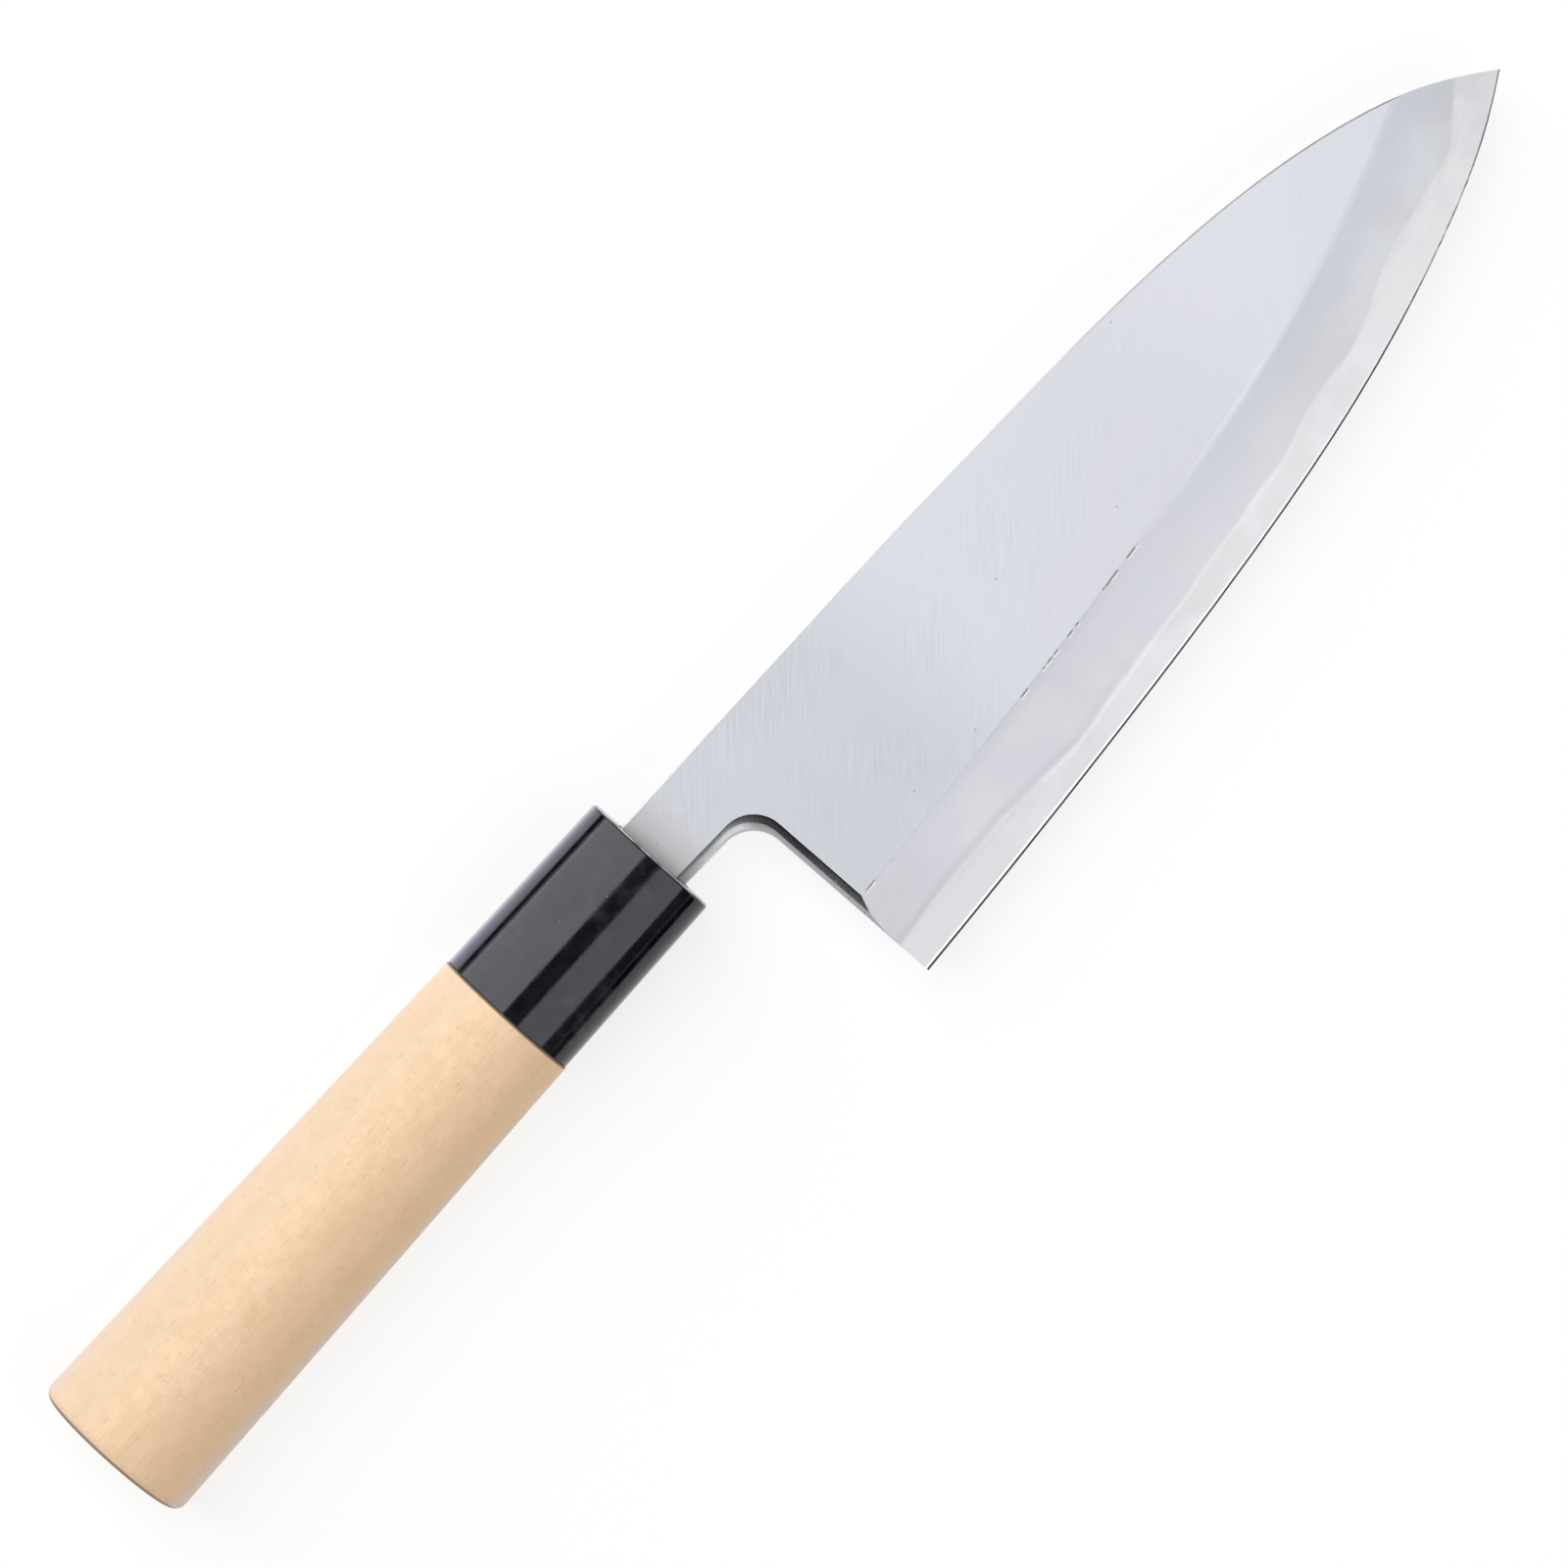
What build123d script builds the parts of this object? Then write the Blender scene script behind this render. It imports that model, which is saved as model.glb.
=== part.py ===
"""Right-handed single-bevel deba knife: a 165 mm laminated blade in a wooden handle with a black ferrule.

+X runs along the handle's axis to the tip, +Y towards the spine and +Z out of the bevelled face.
The origin lies under the middle of the knife, level with the handle's lowest line. Sizes in millimetres.
"""

import os
from math import cos, radians, sin, sqrt, tan

from build123d import *

os.makedirs("parts", exist_ok=True)

# Blade in plan, measured from the ferrule's mouth and the handle's axis
neck_length = 15.5
blade_length = 163.6
blade_depth = 50.2
spine_rise = 6.2
tip_drop = 15.95
neck_depth = 13.2
neck_fall = 0.5
heel_lean = 0.7
choil_radius = 6.0

# Stations along the blade: share of its length, of the spine's drop to the tip, of the edge's rise to it
blade_shares = (
    (0.00, 0.000, 0.000),
    (0.27, 0.015, 0.093),
    (0.50, 0.070, 0.212),
    (0.70, 0.190, 0.386),
    (0.85, 0.424, 0.613),
    (0.94, 0.695, 0.811),
    (1.00, 1.000, 1.000),
)
heel_lead_share = (-0.04, 0.000, -0.010)
tip_lead_share = (1.03, 1.170, 1.110)

# Blade in thickness
spine_thickness = 6.2
ridge_thickness = 4.6
point_thickness = 2.3
spine_ease = 0.25
bevel_width = 15.6
bevel_gain = 2.0
burr_thickness = 0.15
honing_angle = 35.0

# Relief ground along the neck and the heel: share of its depth, of its width at the neck and at the heel
relief_depth = 2.9
neck_relief = 1.7
heel_relief = 1.95
relief_shares = (
    (-0.20, 1.30, 1.52),
    (0.23, 0.65, 0.40),
    (0.50, 0.20, 0.11),
    (1.25, -0.10, -0.055),
)

# Hard steel layer on the back: share of the blade's length, share of the layer's thickness at the heel
steel_start = 4.1
steel_thickness = 1.68
steel_shares = (
    (-0.12, 1.00), (0.01, 1.00), (0.15, 0.87), (0.28, 0.70), (0.40, 0.72), (0.52, 0.64),
    (0.64, 0.67), (0.76, 0.63), (0.81, 0.66), (0.91, 0.52), (0.97, 0.58), (1.10, 0.58),
)

# Hollow in the back, ground by a large wheel inside a flat rim
wheel_radius = 480.0
edge_rim = 1.6
spine_rim = 3.2
heel_rim = 4.5
point_rim = 29.0
hollow_shares = (0.00, 0.25, 0.50, 0.75, 1.00)

# Tang
tang_length = 88.0
tang_tip_height = 6.0
tang_tip_thickness = 2.6
tang_shoulder = 0.4
neck_inset = 2.0

# Handle and ferrule: ovals of one shape, their thickness a share of their width
oval_share = 0.7885
handle_length = 125.0
butt_width = 27.9
shoulder_width = 24.7
butt_round = 1.8
ferrule_length = 33.4
seam_width = 24.4
mouth_width = 23.6
ferrule_wall = 2.2
ferrule_face = 3.0
ferrule_round = 0.6
seam_bevel = 0.2
round_steps = 5
pilot_diameter = 6.5
tang_end_gap = 4.0

# Fits and overruns
glue_gap = 0.1
slot_end_gap = 0.6
slot_side_gap = 0.15
overrun = 1.0

# The mouth's centre, in the part's own frame
edge_drop = blade_depth - spine_rise
mouth_x = (handle_length - neck_length - blade_length) / 2
axis_y = (edge_drop - butt_width / 2) / 2
axis_z = oval_share * butt_width / 2
back_z = axis_z - spine_thickness / 2
mouth = Plane(origin=(mouth_x, axis_y, axis_z), x_dir=(0, 1, 0), z_dir=(1, 0, 0))
back = Plane(origin=(mouth_x, axis_y, back_z))
side = Plane(origin=(mouth_x, axis_y + blade_depth, back_z), x_dir=(1, 0, 0), z_dir=(0, -1, 0))

# How the flat face leans towards the back: along the blade, and from the spine down to the ridge
cross_fall = (spine_thickness - ridge_thickness) / (blade_depth - bevel_width)
long_fall = (spine_thickness - point_thickness - cross_fall * (spine_rise + tip_drop)) / blade_length
stock_thickness = spine_thickness + long_fall * (neck_length + tang_length) + overrun


def flat_thickness(along, rise):
    """Thickness under the flat face at a place in plan."""
    return spine_thickness - long_fall * (along - neck_length) - cross_fall * (spine_rise - rise)


def below_flat(depth):
    """Plane of the flat face, moved straight towards the back by a depth."""
    origin = back.from_local_coords(Vector(0, 0, flat_thickness(0, 0) - depth))
    return Plane(origin=origin, x_dir=(1, 0, -long_fall), z_dir=(long_fall, -cross_fall, 1))


def spine_point(station):
    """Point of the spine at one station of the blade."""
    along, drop, _ = station
    return Vector(neck_length + blade_length * along, spine_rise - (spine_rise + tip_drop) * drop)


def edge_point(station):
    """Point of the cutting edge at one station of the blade."""
    along, _, rise = station
    return Vector(neck_length + blade_length * along, (edge_drop - tip_drop) * rise - edge_drop)


neck_thickness = flat_thickness(-neck_inset, spine_rise)
stations = (heel_lead_share, *blade_shares, tip_lead_share)
spine_points = [spine_point(station) for station in stations[1:]]
edge_points = [edge_point(station) for station in stations]


def ground_off(height, climb):
    """What a ground face takes away, cut level at a height above the back."""
    with BuildSketch(back.offset(height)) as region:
        with BuildLine():
            face = Spline(*[(p.X, p.Y + climb(p, height)) for p in edge_points])
            far = -edge_drop - blade_depth
            Polyline(face @ 1, ((face @ 1).X, far), ((face @ 0).X, far), face @ 0)
        make_face()
    return region.sketch


def bevel_climb(point, height):
    """How far the broad bevel has climbed from the edge line at a height above the back."""
    share = (point.X - neck_length) / blade_length
    width = bevel_width + bevel_gain * share**3
    thickness = flat_thickness(point.X, point.Y + width)
    return width * (height - burr_thickness) / (thickness - burr_thickness)


def honing_climb(point, height):
    """How far the narrow honed bevel has climbed from the edge line at a height above the back."""
    return height / tan(radians(honing_angle))


def choil_path(start, neck_setback=0.0, heel_setback=0.0):
    """The neck's underside, the round choil and the heel, set back into the blade."""
    low = spine_rise - neck_depth - neck_fall
    corner = Vector(neck_length - heel_lean + heel_setback, low + neck_setback)
    return FilletPolyline(
        (start, corner.Y + neck_fall * (corner.X - start) / neck_length),
        corner,
        (corner.X + heel_lean, -edge_drop - overrun),
        radius=choil_radius,
    )


def choil_side(depth, neck_setback, heel_setback):
    """The open side under the neck and behind the heel, at a depth below the flat."""
    with BuildSketch(below_flat(depth)) as region:
        with BuildLine():
            path = choil_path(-neck_inset - overrun, neck_setback, heel_setback)
            Polyline(path @ 1, ((path @ 0).X, (path @ 1).Y), path @ 0)
        make_face()
    return region.sketch


def hollow_chord(along):
    """Middle of the hollow and half its width at a place along the blade."""
    line = Axis((along, 0), (0, 1))
    high = spine_line.edge().intersect(line)[0].Y - spine_rim
    low = edge_line.edge().intersect(line)[0].Y + edge_rim
    return (low + high) / 2, (high - low) / 2


def hollow_section(along, half=False):
    """Slice of the hollow across the blade, or its spine half: an arc of the wheel over the back."""
    middle, reach = hollow_chord(along)
    level = back_z - axis_z
    depth = wheel_radius - sqrt(wheel_radius**2 - reach**2)
    start = (middle, level + depth) if half else (middle - reach, level)
    with BuildSketch(mouth.offset(along)) as slice_:
        with BuildLine():
            wheel = RadiusArc(start, (middle + reach, level), wheel_radius)
            below = level - overrun
            Polyline(wheel @ 1, (middle + reach, below), (start[0], below), wheel @ 0)
        make_face()
    return slice_.sketch


def oval(distance, width):
    """The handle's oval section at a distance behind the mouth."""
    with BuildSketch(mouth.offset(-distance)) as section:
        Ellipse(width / 2, oval_share * width / 2)
    return section.sketch


def rounded_end(distance, width, radius, outwards):
    """Ovals from the side wall round to a flat end; outwards is 1 for an end towards the butt, else -1."""
    turns = [radians(90) * step / round_steps for step in range(round_steps + 1)]
    return [
        oval(distance - outwards * radius * (1 - sin(turn)), width - 2 * radius * (1 - cos(turn)))
        for turn in turns
    ]


def tang_section(share, clearance=0.0):
    """The tang's section, from its shoulder (share 0) to its tip (share 1), with a clearance all round."""
    root_height = neck_depth - 2 * tang_shoulder
    root_thickness = flat_thickness(0, spine_rise - neck_depth) - 2 * tang_shoulder
    root_centre = spine_rise - neck_depth / 2
    height = root_height + (tang_tip_height - root_height) * share
    thickness = root_thickness + (tang_tip_thickness - root_thickness) * share
    with BuildSketch(mouth.offset(-neck_inset - (tang_length - neck_inset) * share)) as section:
        with Locations((root_centre * (1 - share), 0)):
            Rectangle(height + 2 * clearance, thickness + 2 * clearance)
    return section.sketch


# The spine and the cutting edge in plan
with BuildLine() as spine_line:
    Spline(*spine_points, tangents=[(1, 0), spine_points[-1] - spine_points[-2]])
with BuildLine() as edge_line:
    Spline(*edge_points)

# The forging: its outline, the leaning flat, the eased spine, the relief at the choil and two ground bevels
with BuildPart() as forging:
    with BuildSketch(back):
        with BuildLine():
            spine = add(spine_line.edge()).edge()
            path = choil_path(-neck_inset)
            Polyline(path @ 1, ((spine @ 1).X, -edge_drop - overrun), spine @ 1)
            Polyline(path @ 0, (-neck_inset, spine_rise), spine @ 0)
        make_face()
    extrude(amount=stock_thickness)
    split(bisect_by=below_flat(0), keep=Keep.BOTTOM)
    flat = forging.faces().sort_by(Axis.Z)[-1]
    chamfer(flat.edges().sort_by(Axis.Y)[-2:], spine_ease)
    loft(
        [
            choil_side(relief_depth * down, neck_relief * neck, heel_relief * heel)
            for down, neck, heel in relief_shares
        ],
        ruled=True,
        mode=Mode.SUBTRACT,
    )
    loft(
        [ground_off(height, bevel_climb) for height in (-overrun, stock_thickness)],
        ruled=True,
        mode=Mode.SUBTRACT,
    )
    loft(
        [ground_off(height, honing_climb) for height in (-overrun, stock_thickness)],
        ruled=True,
        mode=Mode.SUBTRACT,
    )

# Where the hard steel lies: under a weld that wanders a little along the blade
with BuildPart() as steel_space:
    with BuildSketch(side):
        with BuildLine():
            weld = Spline(
                *[
                    (neck_length + blade_length * along, steel_thickness * height)
                    for along, height in steel_shares
                ]
            )
            Polyline(weld @ 1, ((weld @ 1).X, -overrun), ((weld @ 0).X, -overrun), weld @ 0)
        make_face()
        with Locations((steel_start - blade_length / 2, 0)):
            Rectangle(blade_length, 2 * stock_thickness, mode=Mode.SUBTRACT)
    extrude(amount=3 * blade_depth)

# What the wheel takes out of the back: a long shallow trough with round ends
hollow_start = neck_length + heel_rim + (blade_depth - edge_rim - spine_rim) / 2
hollow_end = neck_length + blade_length - point_rim
with BuildPart() as hollow:
    loft([hollow_section(hollow_start + (hollow_end - hollow_start) * share) for share in hollow_shares])
    for along, turn in ((hollow_start, 180), (hollow_end, -180)):
        middle, _ = hollow_chord(along)
        upright = Axis(back.from_local_coords(Vector(along, middle, 0)), (0, 0, 1))
        revolve(hollow_section(along, half=True), axis=upright, revolution_arc=turn)

# Hard steel: the whole back, ground hollow inside its rim
with BuildPart() as edge_steel:
    add(forging.part)
    add(steel_space.part, mode=Mode.INTERSECT)
    add(hollow.part, mode=Mode.SUBTRACT)
edge_steel.part.label = "edge_steel"
export_step(edge_steel.part, "parts/edge_steel.step")

# Soft iron: the rest of the blade, with the neck and the tang
with BuildPart() as blade_body:
    add(forging.part)
    add(steel_space.part, mode=Mode.SUBTRACT)
    loft([tang_section(0), tang_section(1)], ruled=True)
blade_body.part.label = "blade_body"
export_step(blade_body.part, "parts/blade_body.step")

# Ferrule: a black cap with a slot in its face
with BuildPart() as ferrule:
    loft(
        [
            oval(ferrule_length, seam_width - 2 * seam_bevel),
            oval(ferrule_length - seam_bevel, seam_width),
            *rounded_end(0, mouth_width, ferrule_round, -1),
        ],
        ruled=True,
    )
    with BuildSketch(mouth.offset(-ferrule_length)):
        Ellipse(mouth_width / 2 - ferrule_wall, oval_share * mouth_width / 2 - ferrule_wall)
    extrude(amount=ferrule_length - ferrule_face, mode=Mode.SUBTRACT)
    with BuildSketch(mouth):
        with Locations((spine_rise - neck_depth / 2, (neck_thickness - spine_thickness) / 2)):
            Rectangle(neck_depth + 2 * slot_end_gap, neck_thickness + 2 * slot_side_gap)
    extrude(amount=-ferrule_length, mode=Mode.SUBTRACT)
ferrule.part.label = "ferrule"
export_step(ferrule.part, "parts/ferrule.step")

# Handle: a turned tenon for the ferrule, a pilot bore and the tapered slot that the hot tang burns open
with BuildPart() as handle:
    loft(
        [
            oval(ferrule_length, shoulder_width - 2 * seam_bevel),
            oval(ferrule_length + seam_bevel, shoulder_width),
            oval((ferrule_length + handle_length) / 2, (shoulder_width + butt_width) / 2),
            *rounded_end(handle_length, butt_width, butt_round, 1),
        ],
        ruled=True,
    )
    with BuildSketch(mouth.offset(-ferrule_length)):
        wall = ferrule_wall + glue_gap
        Ellipse(mouth_width / 2 - wall, oval_share * mouth_width / 2 - wall)
    extrude(amount=ferrule_length - ferrule_face - glue_gap)
    loft([tang_section(0, glue_gap), tang_section(1, glue_gap)], ruled=True, mode=Mode.SUBTRACT)
    with BuildSketch(mouth):
        Circle(pilot_diameter / 2)
    extrude(amount=-tang_length - tang_end_gap, mode=Mode.SUBTRACT)
handle.part.label = "handle"
export_step(handle.part, "parts/handle.step")
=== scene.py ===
"""Dresses a single-bevel deba knife: laid steel blade, black resin ferrule and pale wooden handle.

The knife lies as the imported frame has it: +X runs to the tip, +Y towards the spine and +Z out of the
bevelled face. Every length here is in metres.
"""

import logging
import math
from collections.abc import Callable, Iterable
from dataclasses import dataclass, field
from enum import Enum
from typing import ClassVar

import bmesh
import bpy
from mathutils import Matrix, Vector


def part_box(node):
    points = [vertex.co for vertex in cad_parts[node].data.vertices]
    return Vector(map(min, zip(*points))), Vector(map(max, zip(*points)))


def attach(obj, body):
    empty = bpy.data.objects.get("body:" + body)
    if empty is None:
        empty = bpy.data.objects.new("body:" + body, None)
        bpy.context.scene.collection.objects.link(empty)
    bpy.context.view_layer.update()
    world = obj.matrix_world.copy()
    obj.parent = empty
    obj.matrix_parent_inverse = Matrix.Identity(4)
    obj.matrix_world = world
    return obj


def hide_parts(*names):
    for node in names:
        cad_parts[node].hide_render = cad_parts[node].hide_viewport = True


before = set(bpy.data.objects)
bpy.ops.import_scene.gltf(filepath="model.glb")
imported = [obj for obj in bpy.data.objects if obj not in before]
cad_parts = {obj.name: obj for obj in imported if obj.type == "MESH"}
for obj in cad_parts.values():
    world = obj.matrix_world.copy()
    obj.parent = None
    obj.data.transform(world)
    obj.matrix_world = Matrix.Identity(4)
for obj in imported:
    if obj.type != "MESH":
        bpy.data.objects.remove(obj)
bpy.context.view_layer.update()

BODY = "root"
MERGE_DISTANCE = 2e-6
QUARTER_TURN = math.radians(90)
SHARP = math.radians(32)

Socket = bpy.types.NodeSocket
Colour = tuple[float, float, float, float]
Span = tuple[float, float]  # where a fade or a mix starts, and where it ends
Stop = tuple[float, float]  # a place on a ramp and the level there
Lines = tuple[float, float, float, float]  # turn, length, spacing and shift
Clouds = tuple[float, float, float, float]  # size, low level, high level and shift
Waves = tuple[float, float, float]  # size, height and shift
Specks = tuple[float, float]  # pitch and radius
Section = tuple[float, float, float]  # place along X, width and thickness
Ring = list[bmesh.types.BMEdge]

BLACK: Colour = (0.0, 0.0, 0.0, 1.0)
WHITE: Colour = (1.0, 1.0, 1.0, 1.0)
GRAZING_STEEL: Colour = (0.30, 0.30, 0.32, 1.0)

log = logging.getLogger("deba")


class Slot(Enum):
    """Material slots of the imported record."""

    SOFT_IRON = "soft_iron"
    HARD_STEEL = "hard_steel"
    RESIN = "ferrule_resin"
    WOOD = "handle_wood"


class Region(Enum):
    """Kinds of face on the blade, each with its own finish."""

    FLAT = "flat"
    BEVEL = "bevel"
    HONED = "honed edge"
    RELIEF = "relief"
    SPINE = "spine"
    BACK = "back"
    TANG = "tang"


class Measure(Enum):
    """Distances kept on the blade's points, for finishes that follow a line of the blade."""

    BELOW_RIDGE = "below_ridge"
    ABOVE_WELD = "above_weld"
    BELOW_WELD = "below_weld"
    ABOVE_EDGE = "above_edge"


@dataclass(frozen=True)
class Plane:
    """A plane through a point of the blade."""

    point: Vector
    normal: Vector


@dataclass
class Haft:
    """What the pieces share: the handle's axis and ovals, the seam, the mouth and the bare blade."""

    segments: int = 128
    round_steps: int = 8
    oval_share: float = 0.7885
    seam_width: float = 0.0244
    mouth_width: float = 0.0236
    seam_bevel: float = 0.0002
    wall: float = 0.0022
    face: float = 0.003
    glue_gap: float = 0.0001
    slot: Span = (0.0144, 0.0068)
    slot_rise: float = -0.0004
    slot_cuts: int = 7

    def __post_init__(self) -> None:
        """Read the places from the frame."""
        low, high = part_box("handle")
        self.axis = (low + high) / 2
        self.butt = low.x
        seam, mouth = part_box("ferrule")
        self.seam = seam.x
        self.mouth = mouth.x
        self.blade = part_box("edge_steel")[1].x - self.mouth
        self.slot_middle = self.axis + Vector((0, self.slot_rise, 0))

    def oval(self, width: float) -> Span:
        """Return the width and thickness of an oval."""
        return width, width * self.oval_share

    def rounded(self, end: float, width: float, radius: float, outwards: int) -> list[Section]:
        """Set rings from the side wall round to a flat end.

        Args:
            end: The end's place along X.
            width: The oval's width before it is rounded.
            radius: The radius of the round.
            outwards: 1 for an end towards the tip, -1 for one towards the butt.

        Returns:
            Place, width and thickness of each ring.
        """
        rings = []
        for step in range(self.round_steps + 1):
            turn = QUARTER_TURN * step / self.round_steps
            along = end - outwards * radius * (1 - math.sin(turn))
            rings.append((along, *inset(self.oval(width), radius * (1 - math.cos(turn)))))
        return rings


def inset(size: Span, depth: float) -> Span:
    """Return an oval's width and thickness once its edge is moved in."""
    return size[0] - 2 * depth, size[1] - 2 * depth


class Wiring:
    """Adds nodes to one tree and joins them."""

    def __init__(self, tree: bpy.types.NodeTree) -> None:
        """Start wiring a tree."""
        self.tree = tree

    def node(self, kind: str, inputs: dict | None = None, **settings: object) -> bpy.types.Node:
        """Add one node.

        Args:
            kind: The node's type name.
            inputs: Sockets by name or number, each with a value or a socket to join.
            **settings: Properties of the node.

        Returns:
            The new node.
        """
        made = self.tree.nodes.new(kind)
        for name, value in settings.items():
            setattr(made, name, value)
        for key, value in (inputs or {}).items():
            if isinstance(value, Socket):
                self.tree.links.new(value, made.inputs[key])
            else:
                made.inputs[key].default_value = value
        return made

    def math(self, operation: str, *values: object, clamp: bool = False) -> Socket:
        """Add a Math node and return its result."""
        inputs = dict(enumerate(values))
        return self.node("ShaderNodeMath", inputs, operation=operation, use_clamp=clamp).outputs[0]

    def times(self, first: object, second: object) -> Socket:
        """Multiply two masks."""
        return self.math("MULTIPLY", first, second)

    def vector(self, operation: str, *values: object) -> Socket:
        """Add a Vector Math node and return its vector."""
        return self.node("ShaderNodeVectorMath", dict(enumerate(values)), operation=operation).outputs[0]

    def scalar(self, operation: str, *values: object) -> Socket:
        """Add a Vector Math node and return its number, such as a length."""
        node = self.node("ShaderNodeVectorMath", dict(enumerate(values)), operation=operation)
        return node.outputs["Value"]

    def shifted(self, place: Socket, size: object, shift: object) -> Socket:
        """Divide a place by a pattern's size and shift it."""
        return self.vector("ADD", self.vector("DIVIDE", place, size), shift)

    def noise(self, place: Socket, detail: float, roughness: float = 0.5) -> Socket:
        """Add noise from 0 to 1 at a place."""
        inputs = {"Vector": place, "Scale": 1.0, "Detail": detail, "Roughness": roughness}
        return self.node("ShaderNodeTexNoise", inputs).outputs["Fac"]

    def fade(self, value: object, low: object, high: object) -> Socket:
        """Rise smoothly from 0 at low to 1 at high."""
        inputs = {"Value": value, "From Min": low, "From Max": high}
        return self.node("ShaderNodeMapRange", inputs, interpolation_type="SMOOTHSTEP").outputs["Result"]

    def lerp(self, share: object, first: object, second: object) -> Socket:
        """Mix two numbers by a share of the second."""
        return self.node("ShaderNodeMix", {0: share, 2: first, 3: second}, data_type="FLOAT").outputs[0]

    def mix(self, share: object, first: object, second: object) -> Socket:
        """Mix two colours by a share of the second."""
        return self.node("ShaderNodeMix", {0: share, 6: first, 7: second}, data_type="RGBA").outputs[2]

    def over(self, colour: object, tone: object, mask: Socket, share: object) -> Socket:
        """Lay a share of a tone over a colour wherever a mask is."""
        return self.mix(self.times(mask, share), colour, tone)

    def ramp(self, share: Socket, stops: Iterable[Stop], mode: str = "LINEAR") -> Socket:
        """Turn a share into a level.

        Args:
            share: The share, from 0 to 1.
            stops: Places from 0 to 1, in order, each with its level.
            mode: How the ramp runs from stop to stop.

        Returns:
            The level.
        """
        node = self.node("ShaderNodeValToRGB", {"Fac": share})
        node.color_ramp.interpolation = mode
        elements = node.color_ramp.elements
        for number, (place, level) in enumerate(stops):
            stop = elements[number] if number < 2 else elements.new(place)
            stop.position = place
            stop.color = (level, level, level, 1)
        return node.outputs["Color"]


class SharedEffects:
    """Node groups that more than one finish uses."""

    LINE_DETAIL = 2.0
    LINE_ROUGHNESS = 0.6
    CLOUD_DETAIL = 3.0
    SPECK_EDGE = 3.0

    def __init__(self) -> None:
        """Build every group once."""
        self.lines = self._lines()
        self.clouds = self._clouds()
        self.specks = self._specks()

    def _group(self, name: str, numbers: dict[str, float], output: str) -> tuple[Wiring, dict]:
        """Start a group that reads a place and some numbers.

        Args:
            name: The group's name.
            numbers: Its number inputs with their usual values.
            output: The name of its result.

        Returns:
            The group's wiring and its input sockets by name.
        """
        tree = bpy.data.node_groups.new(name, "ShaderNodeTree")
        tree.interface.new_socket("Place", in_out="INPUT", socket_type="NodeSocketVector")
        for label, usual in numbers.items():
            socket = tree.interface.new_socket(label, in_out="INPUT", socket_type="NodeSocketFloat")
            socket.default_value = usual
        tree.interface.new_socket(output, in_out="OUTPUT", socket_type="NodeSocketFloat")
        wires = Wiring(tree)
        entry = wires.node("NodeGroupInput")
        return wires, {socket.name: socket for socket in entry.outputs if socket.name}

    def _lines(self) -> bpy.types.NodeTree:
        """Draw fine lines along one direction of the XY plane, from 0 to 1.

        Returns:
            The group.
        """
        usual = {"Turn": 0.0, "Length": 0.01, "Spacing": 0.0005, "Shift": 0.0}
        wires, given = self._group("drawn_lines", usual, "Level")
        turn = {"Vector": given["Place"], "Angle": wires.times(given["Turn"], -1)}
        turned = wires.node("ShaderNodeVectorRotate", turn, rotation_type="Z_AXIS").outputs[0]
        size = {"X": given["Length"], "Y": given["Spacing"], "Z": given["Spacing"]}
        sizes = wires.node("ShaderNodeCombineXYZ", size).outputs[0]
        moved = wires.shifted(turned, sizes, given["Shift"])
        level = wires.noise(moved, self.LINE_DETAIL, self.LINE_ROUGHNESS)
        wires.node("NodeGroupOutput", {"Level": level})
        return wires.tree

    def _clouds(self) -> bpy.types.NodeTree:
        """Draw soft patches of one size, from 0 to 1.

        Returns:
            The group.
        """
        usual = {"Size": 0.01, "Low": 0.4, "High": 0.6, "Shift": 0.0}
        wires, given = self._group("clouds", usual, "Level")
        moved = wires.shifted(given["Place"], given["Size"], given["Shift"])
        level = wires.fade(wires.noise(moved, self.CLOUD_DETAIL), given["Low"], given["High"])
        wires.node("NodeGroupOutput", {"Level": level})
        return wires.tree

    def _specks(self) -> bpy.types.NodeTree:
        """Scatter small round spots: 1 on a spot and 0 elsewhere.

        Returns:
            The group.
        """
        wires, given = self._group("specks", {"Pitch": 0.004, "Radius": 0.08}, "Mask")
        scaled = wires.vector("DIVIDE", given["Place"], given["Pitch"])
        cells = wires.node("ShaderNodeTexVoronoi", {"Vector": scaled, "Scale": 1.0, "Randomness": 1.0})
        inside = wires.math("SUBTRACT", given["Radius"], cells.outputs["Distance"])
        share = wires.math("DIVIDE", inside, given["Radius"])
        wires.node("NodeGroupOutput", {"Mask": wires.math("MULTIPLY", share, self.SPECK_EDGE, clamp=True)})
        return wires.tree


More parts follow.
